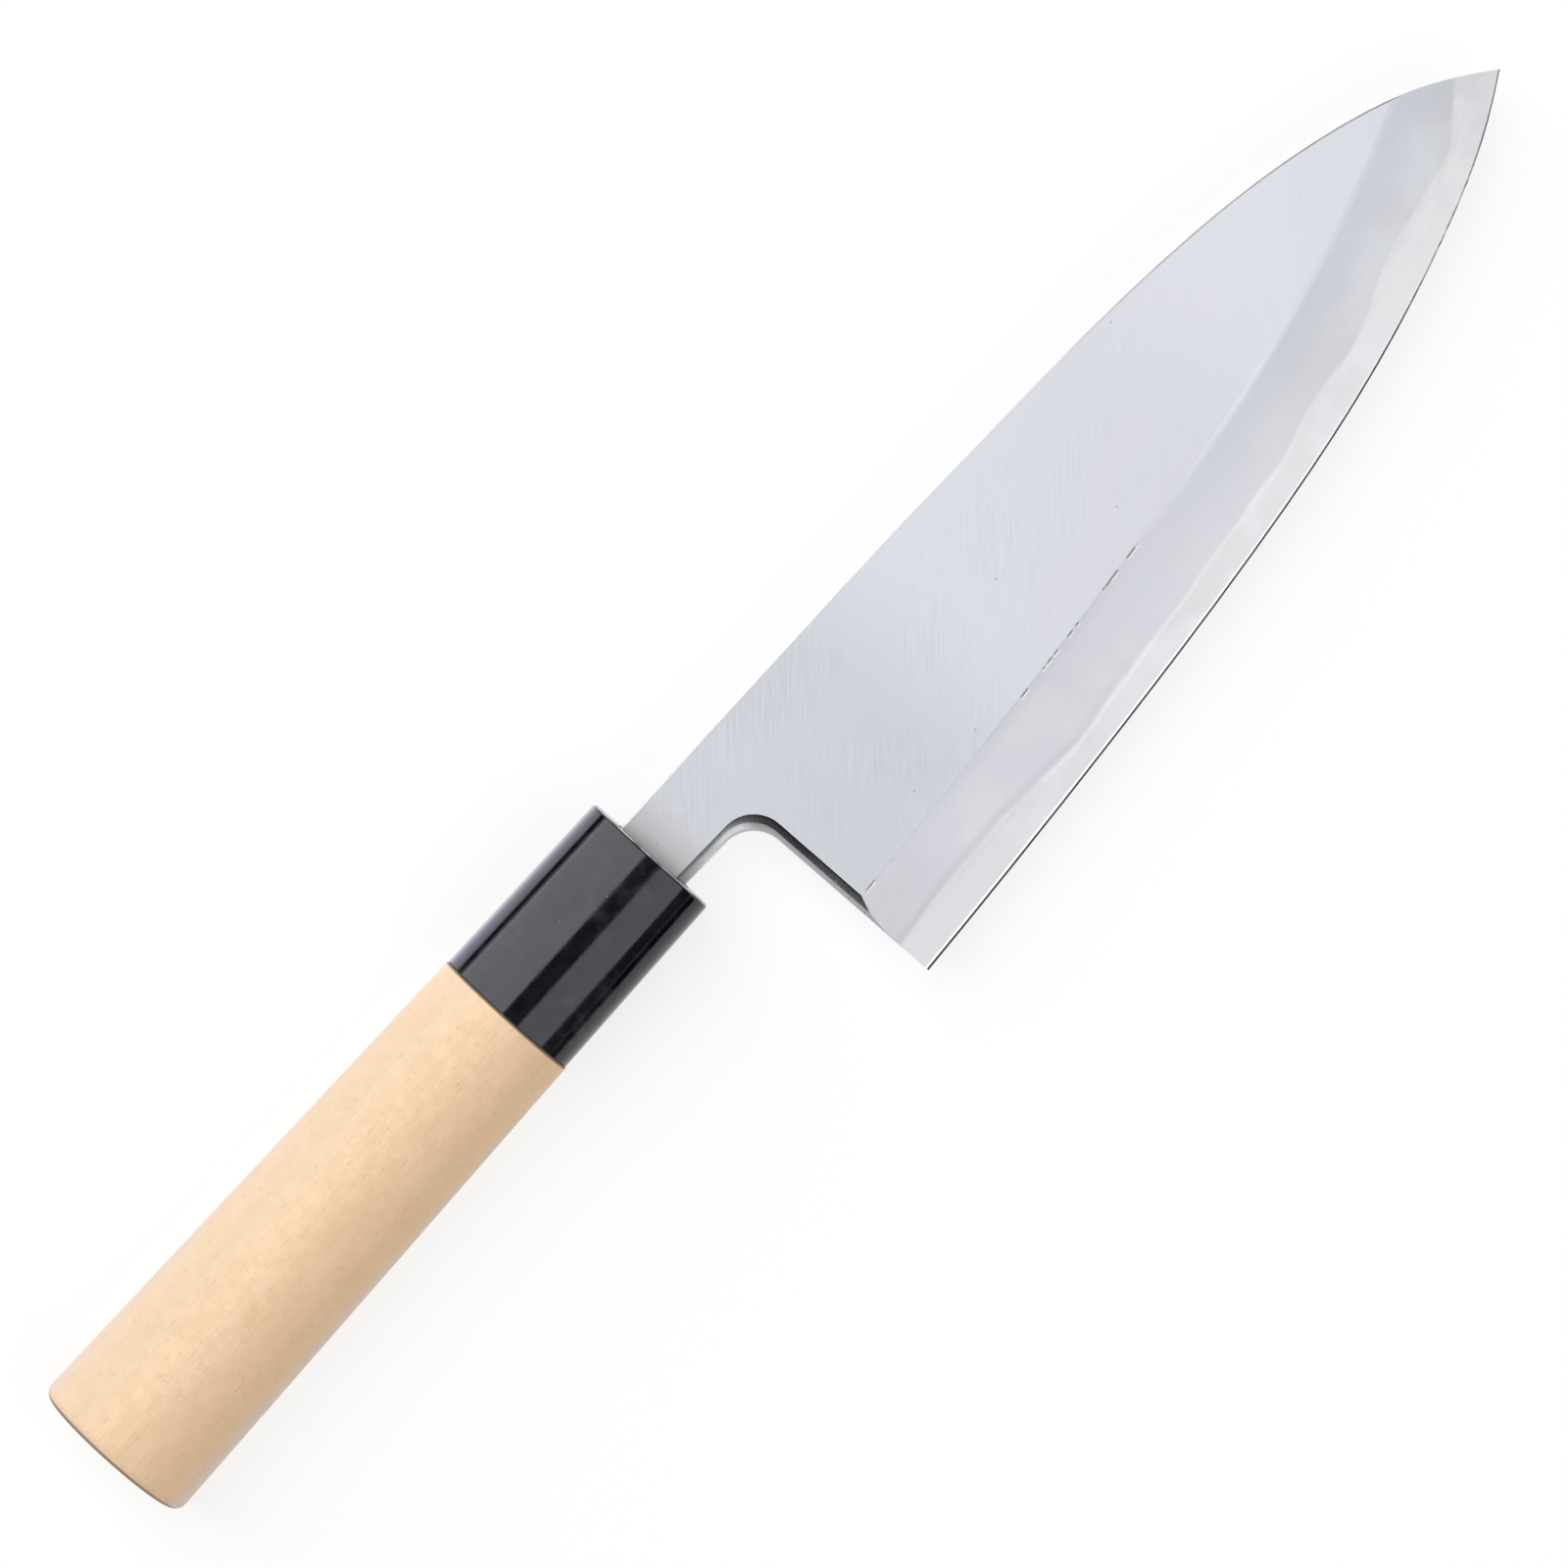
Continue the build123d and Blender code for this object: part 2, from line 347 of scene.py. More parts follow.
class Surface(Wiring):
    """A material's nodes round one Principled shader."""

    def __init__(self, name: str, effects: SharedEffects, constants: dict[str, object]) -> None:
        """Start a material.

        Args:
            name: The material's name.
            effects: The shared node groups.
            constants: Shader inputs that are the same all over.
        """
        self.material = bpy.data.materials.new(name)
        self.material.use_nodes = True
        self.material.node_tree.nodes.clear()
        super().__init__(self.material.node_tree)
        self.effects = effects
        self.shader = self.node("ShaderNodeBsdfPrincipled", constants)
        self.node("ShaderNodeOutputMaterial", {"Surface": self.shader.outputs["BSDF"]})
        self.place = self.node("ShaderNodeTexCoord").outputs["Object"]
        axes = self.node("ShaderNodeSeparateXYZ", {0: self.place}).outputs
        self.x = axes["X"]
        self.y = axes["Y"]

    def feed(self, label: str, socket: Socket) -> None:
        """Join a socket to a shader input."""
        self.tree.links.new(socket, self.shader.inputs[label])

    def coat(self, colour: Socket, roughness: Socket, height: Socket, depth: float) -> None:
        """Feed the shader what every finish has.

        Args:
            colour: The base colour.
            roughness: The roughness.
            height: The relief's height, from 0 to 1.
            depth: The depth of a relief of 1.
        """
        bump = self.node("ShaderNodeBump", {"Strength": 1.0, "Distance": depth, "Height": height})
        self.feed("Base Color", colour)
        self.feed("Roughness", roughness)
        self.feed("Normal", bump.outputs[0])

    def effect(self, group: bpy.types.NodeTree, values: dict[str, object]) -> Socket:
        """Place a shared effect on the surface with its own values."""
        return self.node("ShaderNodeGroup", {"Place": self.place} | values, node_tree=group).outputs[0]

    def lines(self, turn: float, length: float, spacing: float, shift: float) -> Socket:
        """Place drawn lines."""
        values = {"Turn": turn, "Length": length, "Spacing": spacing, "Shift": shift}
        return self.effect(self.effects.lines, values)

    def clouds(self, size: float, low: float, high: float, shift: float) -> Socket:
        """Place soft patches."""
        return self.effect(self.effects.clouds, {"Size": size, "Low": low, "High": high, "Shift": shift})

    def specks(self, pitch: float, radius: float) -> Socket:
        """Place scattered spots."""
        return self.effect(self.effects.specks, {"Pitch": pitch, "Radius": radius})

    def waves(self, size: float, height: float, shift: float) -> Socket:
        """Wander slowly and smoothly round 0, with no finer detail."""
        moved = self.shifted(self.place, (size,) * 3, (shift,) * 3)
        return self.math("MULTIPLY_ADD", self.noise(moved, 0.0), height * 2, -height)

    def measure(self, name: Measure) -> Socket:
        """Return a distance kept on the blade's points."""
        return self.node("ShaderNodeAttribute", attribute_name=name.value).outputs["Fac"]

    def past(self, start: float) -> Socket:
        """Return how far a point is past a place along X."""
        return self.math("SUBTRACT", self.x, start)

    def share(self, haft: Haft) -> Socket:
        """Return how far along the bare blade a point is: 0 at the mouth and 1 at the tip."""
        return self.math("DIVIDE", self.past(haft.mouth), haft.blade)

    def under(self, plane: Plane) -> Socket:
        """Return how deep a point lies under a plane."""
        offset = self.vector("SUBTRACT", self.place, plane.point)
        return self.times(self.scalar("DOT_PRODUCT", offset, plane.normal), -1)

    def from_axis(self, haft: Haft) -> Socket:
        """Measure how far from the handle's axis a point is, as half the width of its oval.

        Args:
            haft: The handle's and the ferrule's places.

        Returns:
            The distance.
        """
        centred = self.vector("SUBTRACT", self.place, (0.0, haft.axis.y, haft.axis.z))
        section = self.vector("MULTIPLY", centred, (0.0, 1.0, 1.0 / haft.oval_share))
        return self.scalar("LENGTH", section)


class Finish:
    """What every finish shares: it starts a material, draws its nodes and hands it over."""

    title: ClassVar[str]
    constants: ClassVar[dict[str, object]] = {"Metallic": 1.0, "Specular Tint": GRAZING_STEEL}

    def dress(self, skin: Surface) -> None:
        """Draw the finish's nodes."""
        raise NotImplementedError

    def material(self, effects: SharedEffects) -> bpy.types.Material:
        """Build the material.

        Args:
            effects: The shared node groups.

        Returns:
            The finished material.
        """
        skin = Surface(self.title, effects, self.constants)
        self.dress(skin)
        return skin.material


@dataclass(frozen=True)
class PlainSteel(Finish):
    """Satin steel with drawn lines, for the sides of the blade that carry no other mark."""

    title: ClassVar[str] = "steel_sides"
    colour: Colour = (0.62, 0.63, 0.66, 1)
    line_colour: Colour = (0.52, 0.53, 0.56, 1)
    lines: Lines = (0.0, 0.02, 0.0004, 0.0)
    line_fade: Span = (0.3, 0.7)
    roughness: Span = (0.30, 0.40)
    bump: float = 0.000004

    def tone(self, skin: Surface, lines: Socket) -> Socket:
        """Mix the steel's colour by its drawn lines."""
        return skin.mix(skin.fade(lines, *self.line_fade), self.line_colour, self.colour)

    def dress(self, skin: Surface) -> None:
        """Draw the lines and the colour."""
        lines = skin.lines(*self.lines)
        skin.coat(self.tone(skin, lines), skin.lerp(lines, *self.roughness), lines, self.bump)


@dataclass(frozen=True, kw_only=True)
class EasedSpine(PlainSteel):
    """The rounded back edge: satin, with a thin warm brown line along its upper rim towards the tip."""

    title: ClassVar[str] = "iron_spine"
    haft: Haft
    flat: Plane
    rim: Span = (0.0009, 0.0004)
    warm: Colour = (0.30, 0.245, 0.240, 1)
    warm_run: Span = (0.45, 0.68)
    warm_share: float = 0.8

    def tone(self, skin: Surface, lines: Socket) -> Socket:
        """Lay the warm line over the steel's colour.

        Args:
            skin: The material's nodes.
            lines: The drawn lines.

        Returns:
            The colour.
        """
        steel = PlainSteel.tone(self, skin, lines)
        run = skin.fade(skin.share(self.haft), *self.warm_run)
        line = skin.times(run, skin.fade(skin.under(self.flat), *self.rim))
        return skin.over(steel, self.warm, line, self.warm_share)


@dataclass(frozen=True)
class IronFlat(Finish):
    """The flat of the soft iron: cool grey, with clusters of hairlines drawn across it on the slant."""

    title: ClassVar[str] = "iron_flat"
    haft: Haft
    light: Colour = (0.777, 0.790, 0.848, 1)
    dark: Colour = (0.709, 0.722, 0.776, 1)
    heel_light: Colour = (0.680, 0.694, 0.740, 1)
    heel_dark: Colour = (0.572, 0.585, 0.618, 1)
    heel_run: Span = (0.062, 0.036)
    heel_share: float = 0.75
    hairlines: Lines = (math.radians(42), 0.009, 0.00028, 0.0)
    hairline_fade: Span = (0.3, 0.7)
    clusters: Clouds = (0.013, 0.38, 0.62, 0.0)
    cluster_levels: Span = (0.22, 0.97)
    bare_level: float = 0.6
    calm_run: Span = (0.135, 0.095)
    calm_levels: Span = (0.2, 1.0)
    lilac: Colour = (0.760, 0.745, 0.808, 1)
    lilac_patches: Clouds = (0.024, 0.45, 0.62, 3.0)
    lilac_shares: Span = (0.5, 0.1)
    tip_tone: Colour = (0.820, 0.834, 0.895, 1)
    tip_shares: Span = (0.8, 0.0)
    warm: Colour = (0.505, 0.497, 0.497, 1)
    warm_run: Span = (0.0085, 0.0)
    warm_share: float = 0.9
    scratch: Colour = (0.430, 0.425, 0.430, 1)
    scratches: Lines = (math.radians(118), 0.004, 0.00028, 6.0)
    scratch_fade: Span = (0.60, 0.72)
    scratch_run: Span = (0.0153, 0.0028333)
    scratch_share: float = 0.36
    pit: Colour = (0.25, 0.25, 0.27, 1)
    pits: Specks = (0.007, 0.022)
    pit_share: float = 0.8
    roughness: Span = (0.57, 0.63)
    bump: float = 0.0000015

    def dress(self, skin: Surface) -> None:
        """Draw the hairlines, the tones from heel to tip, a warm grey by the ferrule darkened as painted
        shade, the scratches and the pits.

        Args:
            skin: The material's nodes.
        """
        from_mouth = skin.past(self.haft.mouth)
        lines = skin.fade(skin.lines(*self.hairlines), *self.hairline_fade)
        drawn = skin.lerp(skin.clouds(*self.clusters), *self.cluster_levels)
        calm = skin.fade(from_mouth, *self.calm_run)
        strength = skin.times(drawn, skin.lerp(calm, *self.calm_levels))
        heel = skin.times(skin.fade(from_mouth, *self.heel_run), self.heel_share)
        dark = skin.mix(heel, self.dark, self.heel_dark)
        light = skin.mix(heel, self.light, self.heel_light)
        colour = skin.mix(skin.lerp(strength, self.bare_level, lines), dark, light)
        patches = skin.clouds(*self.lilac_patches)
        colour = skin.over(colour, self.lilac, patches, skin.lerp(heel, *self.lilac_shares))
        colour = skin.mix(skin.lerp(calm, *self.tip_shares), colour, self.tip_tone)
        # A warm grey towards the ferrule's mouth, darker as painted shade beside the ferrule.
        colour = skin.over(colour, self.warm, skin.fade(from_mouth, *self.warm_run), self.warm_share)
        scratches = skin.fade(skin.lines(*self.scratches), *self.scratch_fade)
        crossed = skin.times(scratches, skin.fade(from_mouth, *self.scratch_run))
        colour = skin.over(colour, self.scratch, crossed, self.scratch_share)
        colour = skin.over(colour, self.pit, skin.specks(*self.pits), self.pit_share)
        skin.coat(colour, skin.lerp(lines, *self.roughness), skin.times(lines, strength), self.bump)


@dataclass(frozen=True)
class BevelTones:
    """The tones of the ground bevel: misty iron above a wandering weld line and pale hard steel below, both
    painted lighter from heel to tip for how the lamps fall along the bevel.
    """

    haft: Haft
    # Heel and tip tones, painted lighter towards the tip for how the lamps fall along the bevel.
    ridge_heel: Colour = (0.446, 0.453, 0.492, 1)
    ridge_tip: Colour = (0.792, 0.807, 0.863, 1)
    iron_heel: Colour = (0.462, 0.462, 0.501, 1)
    iron_tip: Colour = (0.860, 0.875, 0.928, 1)
    iron_painted_light_rise: tuple[Stop, ...] = (
        (0.12, 0.0), (0.18, 0.12), (0.34, 0.165), (0.46, 0.31), (0.57, 0.41),
        (0.69, 0.58), (0.80, 0.90), (0.87, 0.99), (0.93, 0.97),
    )
    warm: Colour = (0.640, 0.617, 0.637, 1)
    warm_patches: Clouds = (0.013, 0.42, 0.66, 1.0)
    warm_share: float = 0.28
    steel_heel: Colour = (0.522, 0.521, 0.540, 1)
    steel_tip: Colour = (0.975, 0.972, 0.990, 1)
    steel_painted_light_rise: tuple[Stop, ...] = (
        (0.12, 0.0), (0.34, 0.04), (0.46, 0.15), (0.57, 0.315), (0.69, 0.48),
        (0.745, 0.75), (0.80, 0.89), (0.86, 0.95), (0.915, 1.0),
    )
    steel_blue: Colour = (0.860, 0.892, 0.950, 1)
    blue_patches: Clouds = (0.010, 0.46, 0.64, 5.0)
    blue_share: float = 0.6
    wander: Waves = (0.018, 0.0016, 9.0)
    ripple: Waves = (0.006, 0.00045, 2.0)
    weld_rise: Span = (0.0007, 0.0025)
    weld_rise_run: Span = (0.90, 0.97)
    weld_soft: Span = (0.00042, -0.00042)
    heel_run: Span = (0.50, 0.12)
    shade: Colour = (0.394, 0.394, 0.430, 1)
    shade_run: Span = (0.0018, 0.00042)
    shade_share: float = 0.5
    bright: Colour = (0.85, 0.85, 0.86, 1)
    bright_start: Span = (0.0, -0.00042)
    bright_end: Span = (-0.00112, -0.0007)
    bright_shares: Span = (0.22, 0.04)
    grain: tuple[float, float, float] = (math.radians(4), 0.007, 0.00032)
    furrow: Colour = (0.40, 0.40, 0.43, 1)
    furrow_fade: Span = (0.62, 0.38)
    furrow_share: float = 0.045
    satin: float = 0.16
    satin_run: Span = (0.62, 0.92)
    bump: float = 0.000001

    def colour(self, skin: Surface, from_weld: Socket, under_ridge: object) -> Socket:
        """Mix the bevel's colour on either layer, so that the two meet without a seam.

        Args:
            skin: The material's nodes.
            from_weld: Distance from the weld between the layers, positive on the iron.
            under_ridge: Share of the darker band under the ridge.

        Returns:
            The colour.
        """
        share = skin.share(self.haft)
        heel = skin.fade(share, *self.heel_run)
        # Painted light: the iron, the steel and the band under the ridge run from dark at the heel to pale
        # at the tip.
        rise = skin.ramp(share, self.iron_painted_light_rise)
        wandered = skin.math("ADD", skin.waves(*self.wander), skin.waves(*self.ripple))
        lifted = skin.lerp(skin.fade(share, *self.weld_rise_run), *self.weld_rise)
        place = skin.math("ADD", skin.math("SUBTRACT", from_weld, lifted), wandered)
        iron = skin.mix(rise, self.iron_heel, self.iron_tip)
        iron = skin.over(iron, self.warm, skin.clouds(*self.warm_patches), self.warm_share)
        iron = skin.mix(under_ridge, iron, skin.mix(rise, self.ridge_heel, self.ridge_tip))
        shaded = skin.times(skin.fade(place, *self.shade_run), heel)
        iron = skin.over(iron, self.shade, shaded, self.shade_share)
        steel = skin.mix(skin.ramp(share, self.steel_painted_light_rise), self.steel_heel, self.steel_tip)
        cool = skin.times(skin.clouds(*self.blue_patches), rise)
        steel = skin.over(steel, self.steel_blue, cool, self.blue_share)
        colour = skin.mix(skin.fade(place, *self.weld_soft), iron, steel)
        line = skin.times(skin.fade(place, *self.bright_start), skin.fade(place, *self.bright_end))
        return skin.over(colour, self.bright, line, skin.lerp(heel, *self.bright_shares))

    def coat(self, skin: Surface, colour: Socket, roughness: Span, shift: float) -> None:
        """Feed a bevel's colour and its fine grinding lines to the shader.

        Args:
            skin: The material's nodes.
            colour: The bevel's colour.
            roughness: Its least and its greatest roughness before the tip.
            shift: Where the grinding lines start.
        """
        grain = skin.lines(*self.grain, shift)
        colour = skin.over(colour, self.furrow, skin.fade(grain, *self.furrow_fade), self.furrow_share)
        satin = skin.fade(skin.share(self.haft), *self.satin_run)
        rough = skin.math("MULTIPLY_ADD", satin, self.satin, skin.lerp(grain, *roughness))
        skin.coat(colour, rough, grain, self.bump)


@dataclass(frozen=True)
class IronBevel(Finish):
    """The bevel's soft iron: bluer under the ridge, with painted shade and highlight along it and a broken
    row of nicks, painted dark with glints beside them.
    """

    title: ClassVar[str] = "iron_bevel"
    tones: BevelTones
    band_run: Span = (0.0088, 0.0030)
    band_depth: tuple[Stop, ...] = ((0.10, 0.3), (0.30, 0.25), (0.45, 0.5), (0.61, 0.9), (0.75, 1.0))
    wander: Clouds = (0.012, 0.3, 0.7, 7.0)
    wander_reach: Span = (-0.0015, 0.0015)
    heel_run: Span = (0.55, 0.30)
    ridge_highlight: Colour = (0.483, 0.491, 0.529, 1)
    ridge_highlight_run: Span = (0.00196, 0.00098)
    ridge_highlight_share: float = 0.6
    ridge_shade: Colour = (0.404, 0.413, 0.456, 1)
    ridge_shade_run: Span = (0.0007, 0.0)
    ridge_shade_share: float = 0.40
    tip_highlight_width: Span = (0.0014, 0.0)
    tip_highlight_run: Span = (0.45, 0.7)
    tip_highlight_share: float = 0.75
    nicks: tuple[Span, ...] = (
        (0.0176, 0.0203), (0.0225, 0.0240), (0.0560, 0.0580), (0.0615, 0.0660),
        (0.0680, 0.0710), (0.0770, 0.0810), (0.0830, 0.0860),
    )
    nick_reach: float = 0.1
    nick_breaks: Lines = (0.0, 0.0009, 0.0009, 0.0)
    nick_fade: Span = (0.42, 0.50)
    glint_width: float = 0.00052
    glint_share: float = 0.6
    nick_shade: Colour = (0.10, 0.10, 0.115, 1)
    nick_shade_width: float = 0.00036
    nick_shade_share: float = 0.8
    roughness: Span = (0.39, 0.45)
    grain_shift: float = 2.0

    def dress(self, skin: Surface) -> None:
        """Draw the band under the ridge, the painted shade and highlight lines along it, the painted
        highlight before the tip and the nicks with their painted shade and glints.

        Args:
            skin: The material's nodes.
        """
        below = skin.measure(Measure.BELOW_RIDGE)
        share = skin.share(self.tones.haft)
        wander = skin.lerp(skin.clouds(*self.wander), *self.wander_reach)
        band = skin.fade(skin.math("ADD", below, wander), *self.band_run)
        band = skin.times(band, skin.ramp(share, self.band_depth))
        colour = self.tones.colour(skin, skin.measure(Measure.ABOVE_WELD), band)
        heel = skin.fade(share, *self.heel_run)
        # Painted highlight and painted shade along the ridge near the heel, as on a softened crease.
        light = skin.times(skin.fade(below, *self.ridge_highlight_run), heel)
        colour = skin.over(colour, self.ridge_highlight, light, self.ridge_highlight_share)
        dark = skin.times(skin.fade(below, *self.ridge_shade_run), heel)
        colour = skin.over(colour, self.ridge_shade, dark, self.ridge_shade_share)
        # Painted highlight under the ridge towards the tip, softening the crease.
        tip = skin.times(skin.fade(below, *self.tip_highlight_width), skin.fade(share, *self.tip_highlight_run))
        colour = skin.over(colour, self.tones.iron_tip, tip, self.tip_highlight_share)
        # Painted glints beside the nicks and painted shade in them.
        nicked = self._nicked(skin)
        bright = skin.times(nicked, skin.math("LESS_THAN", below, self.glint_width))
        colour = skin.over(colour, WHITE, bright, self.glint_share)
        black = skin.times(nicked, skin.math("LESS_THAN", below, self.nick_shade_width))
        colour = skin.over(colour, self.nick_shade, black, self.nick_shade_share)
        self.tones.coat(skin, colour, self.roughness, self.grain_shift)

    def _nicked(self, skin: Surface) -> Socket:
        """Mask the stretches of the ridge that have nicks, broken up along their length.

        Args:
            skin: The material's nodes.

        Returns:
            The mask.
        """
        stops = [(0.0, 0.0)]
        for start, end in self.nicks:
            stops += [(start / self.nick_reach, 1.0), (end / self.nick_reach, 0.0)]
        inside = skin.math("DIVIDE", skin.past(self.tones.haft.mouth), self.nick_reach)
        broken = skin.fade(skin.lines(*self.nick_breaks), *self.nick_fade)
        return skin.times(skin.ramp(inside, stops, "CONSTANT"), broken)


@dataclass(frozen=True)
class SteelBevel(Finish):
    """The bevel's hard steel: a paler, brighter strip with cloudy patches and a painted highlight along the
    edge.
    """

    title: ClassVar[str] = "steel_bevel"
    tones: BevelTones
    glint_run: Span = (0.00042, 0.00021)
    glint_share: float = 0.5
    roughness: Span = (0.37, 0.43)
    grain_shift: float = 8.0

    def dress(self, skin: Surface) -> None:
        """Draw the bevel's tones and the painted highlight along the edge.

        Args:
            skin: The material's nodes.
        """
        from_weld = skin.times(skin.measure(Measure.BELOW_WELD), -1)
        # Painted highlight: a white line just above the honed edge.
        edge = skin.fade(skin.measure(Measure.ABOVE_EDGE), *self.glint_run)
        colour = skin.over(self.tones.colour(skin, from_weld, 0.0), WHITE, edge, self.glint_share)
        self.tones.coat(skin, colour, self.roughness, self.grain_shift)


@dataclass(frozen=True)
class HonedEdge(Finish):
    """The honed facet: a bright sharpened line that looks black from above, painted dark as that shade, and
    painted greyer before the tip as a paler reflection.
    """

    title: ClassVar[str] = "steel_honed"
    constants: ClassVar[dict[str, object]] = {"Metallic": 1.0}
    haft: Haft
    colour: Colour = (0.36, 0.36, 0.38, 1)
    line_colour: Colour = (0.27, 0.27, 0.29, 1)
    lines: Lines = (0.0, 0.02, 0.0004, 0.0)
    line_fade: Span = (0.7, 0.3)
    pale: Colour = (0.95, 0.95, 0.98, 1)
    pale_reflection_run: tuple[Stop, ...] = ((0.0, 0.0), (0.78, 0.0), (0.84, 0.9), (0.92, 0.9), (0.945, 0.0))
    roughness: Span = (0.2, 0.45)
    bump: float = 0.000004

    def dress(self, skin: Surface) -> None:
        """Draw the facet's lines, its painted dark shade and its painted greyer stretch.

        Args:
            skin: The material's nodes.
        """
        # Painted shade and reflection: the facet's colour is dark, and paler before the tip.
        pale = skin.ramp(skin.share(self.haft), self.pale_reflection_run)
        lines = skin.lines(*self.lines)
        colour = skin.mix(pale, self.colour, self.pale)
        colour = skin.mix(skin.fade(lines, *self.line_fade), colour, self.line_colour)
        skin.coat(colour, skin.lerp(pale, *self.roughness), lines, self.bump)


@dataclass(frozen=True)
class GroundRelief(Finish):
    """The relief under the neck and behind the heel: dark under its upper line with painted shade, paler and
    pitted below.
    """

    title: ClassVar[str] = "iron_relief"
    constants: ClassVar[dict[str, object]] = {}
    haft: Haft
    flat: Plane
    neck: Colour = (0.540, 0.545, 0.570, 1)
    bend_tone: Colour = (0.270, 0.275, 0.292, 1)
    heel: Colour = (0.520, 0.528, 0.556, 1)
    bend: Span = (0.0105, 0.0140)
    heel_run: Span = (-0.0165, -0.0225)
    crease_shade_run: Span = (0.00066, 0.00018)
    crease_shade_share: float = 0.35
    low_mouth: Colour = (0.540, 0.545, 0.565, 1)
    low_neck: Colour = (0.920, 0.930, 0.950, 1)
    low_heel: Colour = (0.430, 0.435, 0.456, 1)
    mouth_run: Span = (0.0, 0.0065)
    low_bend: Span = (0.0122, 0.0158)
    facet_run: Span = (0.0006072, 0.0006996)
    pit: Colour = (0.10, 0.10, 0.11, 1)
    pits: Specks = (0.0011, 0.22)
    pit_patches: Clouds = (0.004, 0.45, 0.6, 0.0)
    pit_share: float = 0.6
    side_run: Span = (0.00140, 0.00152)
    side_share: float = 0.45
    dull_start: Span = (0.0065, 0.0095)
    dull_end: Span = (0.0150, 0.0125)
    dull_shares: Span = (0.5, 1.0)
    metallic: Span = (1.0, 0.15)
    line: Colour = (0.012, 0.012, 0.014, 1)
    crease_shade_line_run: Span = (0.00018, 0.00006)
    crease_shade_line_shares: Span = (0.55, 1.0)
    ticks: Lines = (math.radians(60), 0.002, 0.00012, 0.0)
    tick_fade: Span = (0.45, 0.6)
    tick_run: Span = (0.0011, 0.0006)
    tick_share: float = 0.5
    file_marks: Lines = (math.radians(60), 0.003, 0.0002, 0.0)
    roughness: Span = (0.38, 0.53)
    bump: float = 0.000006

    def dress(self, skin: Surface) -> None:
        """Draw the two facets, the duller bend, the file's ticks and the painted shade line along the top.

        Args:
            skin: The material's nodes.
        """
        from_mouth = skin.past(self.haft.mouth)
        depth = skin.under(self.flat)
        heel = skin.fade(from_mouth, *self.bend)
        low = skin.fade(depth, *self.facet_run)
        pits = skin.times(skin.specks(*self.pits), skin.clouds(*self.pit_patches))
        upper = self._upper(skin, depth, heel)
        colour = skin.mix(low, upper, self._lower(skin, depth, from_mouth, pits))
        dull = skin.times(skin.fade(from_mouth, *self.dull_start), skin.fade(from_mouth, *self.dull_end))
        skin.feed("Metallic", skin.lerp(skin.times(dull, skin.lerp(low, *self.dull_shares)), *self.metallic))
        ticks = skin.fade(skin.lines(*self.ticks), *self.tick_fade)
        ticked = skin.times(ticks, skin.fade(depth, *self.tick_run))
        colour = skin.over(colour, self.line, ticked, self.tick_share)
        # Painted shade: a dark line where the relief drops away from the flat.
        line = skin.fade(depth, *self.crease_shade_line_run)
        colour = skin.over(colour, self.line, line, skin.lerp(heel, *self.crease_shade_line_shares))
        skin.coat(colour, skin.lerp(pits, *self.roughness), skin.lines(*self.file_marks), self.bump)

    def _upper(self, skin: Surface, depth: Socket, heel: Socket) -> Socket:
        """Mix the upper facet's colour, with painted shade under the flat's edge.

        Args:
            skin: The material's nodes.
            depth: The depth under the flat.
            heel: Share of the side behind the heel.

        Returns:
            The colour.
        """
        across = skin.math("SUBTRACT", skin.y, self.haft.axis.y)
        behind = skin.mix(skin.fade(across, *self.heel_run), self.bend_tone, self.heel)
        colour = skin.mix(heel, self.neck, behind)
        # Painted shade, fading down from the flat's edge.
        return skin.over(colour, self.line, skin.fade(depth, *self.crease_shade_run), self.crease_shade_share)

    def _lower(self, skin: Surface, depth: Socket, from_mouth: Socket, pits: Socket) -> Socket:
        """Mix the lower facet's colour.

        Args:
            skin: The material's nodes.
            depth: The depth under the flat.
            from_mouth: The distance from the ferrule's mouth.
            pits: The mask of the pits.

        Returns:
            The colour.
        """
        neck = skin.mix(skin.fade(from_mouth, *self.mouth_run), self.low_mouth, self.low_neck)
        colour = skin.mix(skin.fade(from_mouth, *self.low_bend), neck, self.low_heel)
        colour = skin.over(colour, self.pit, pits, self.pit_share)
        return skin.over(colour, self.pit, skin.fade(depth, *self.side_run), self.side_share)


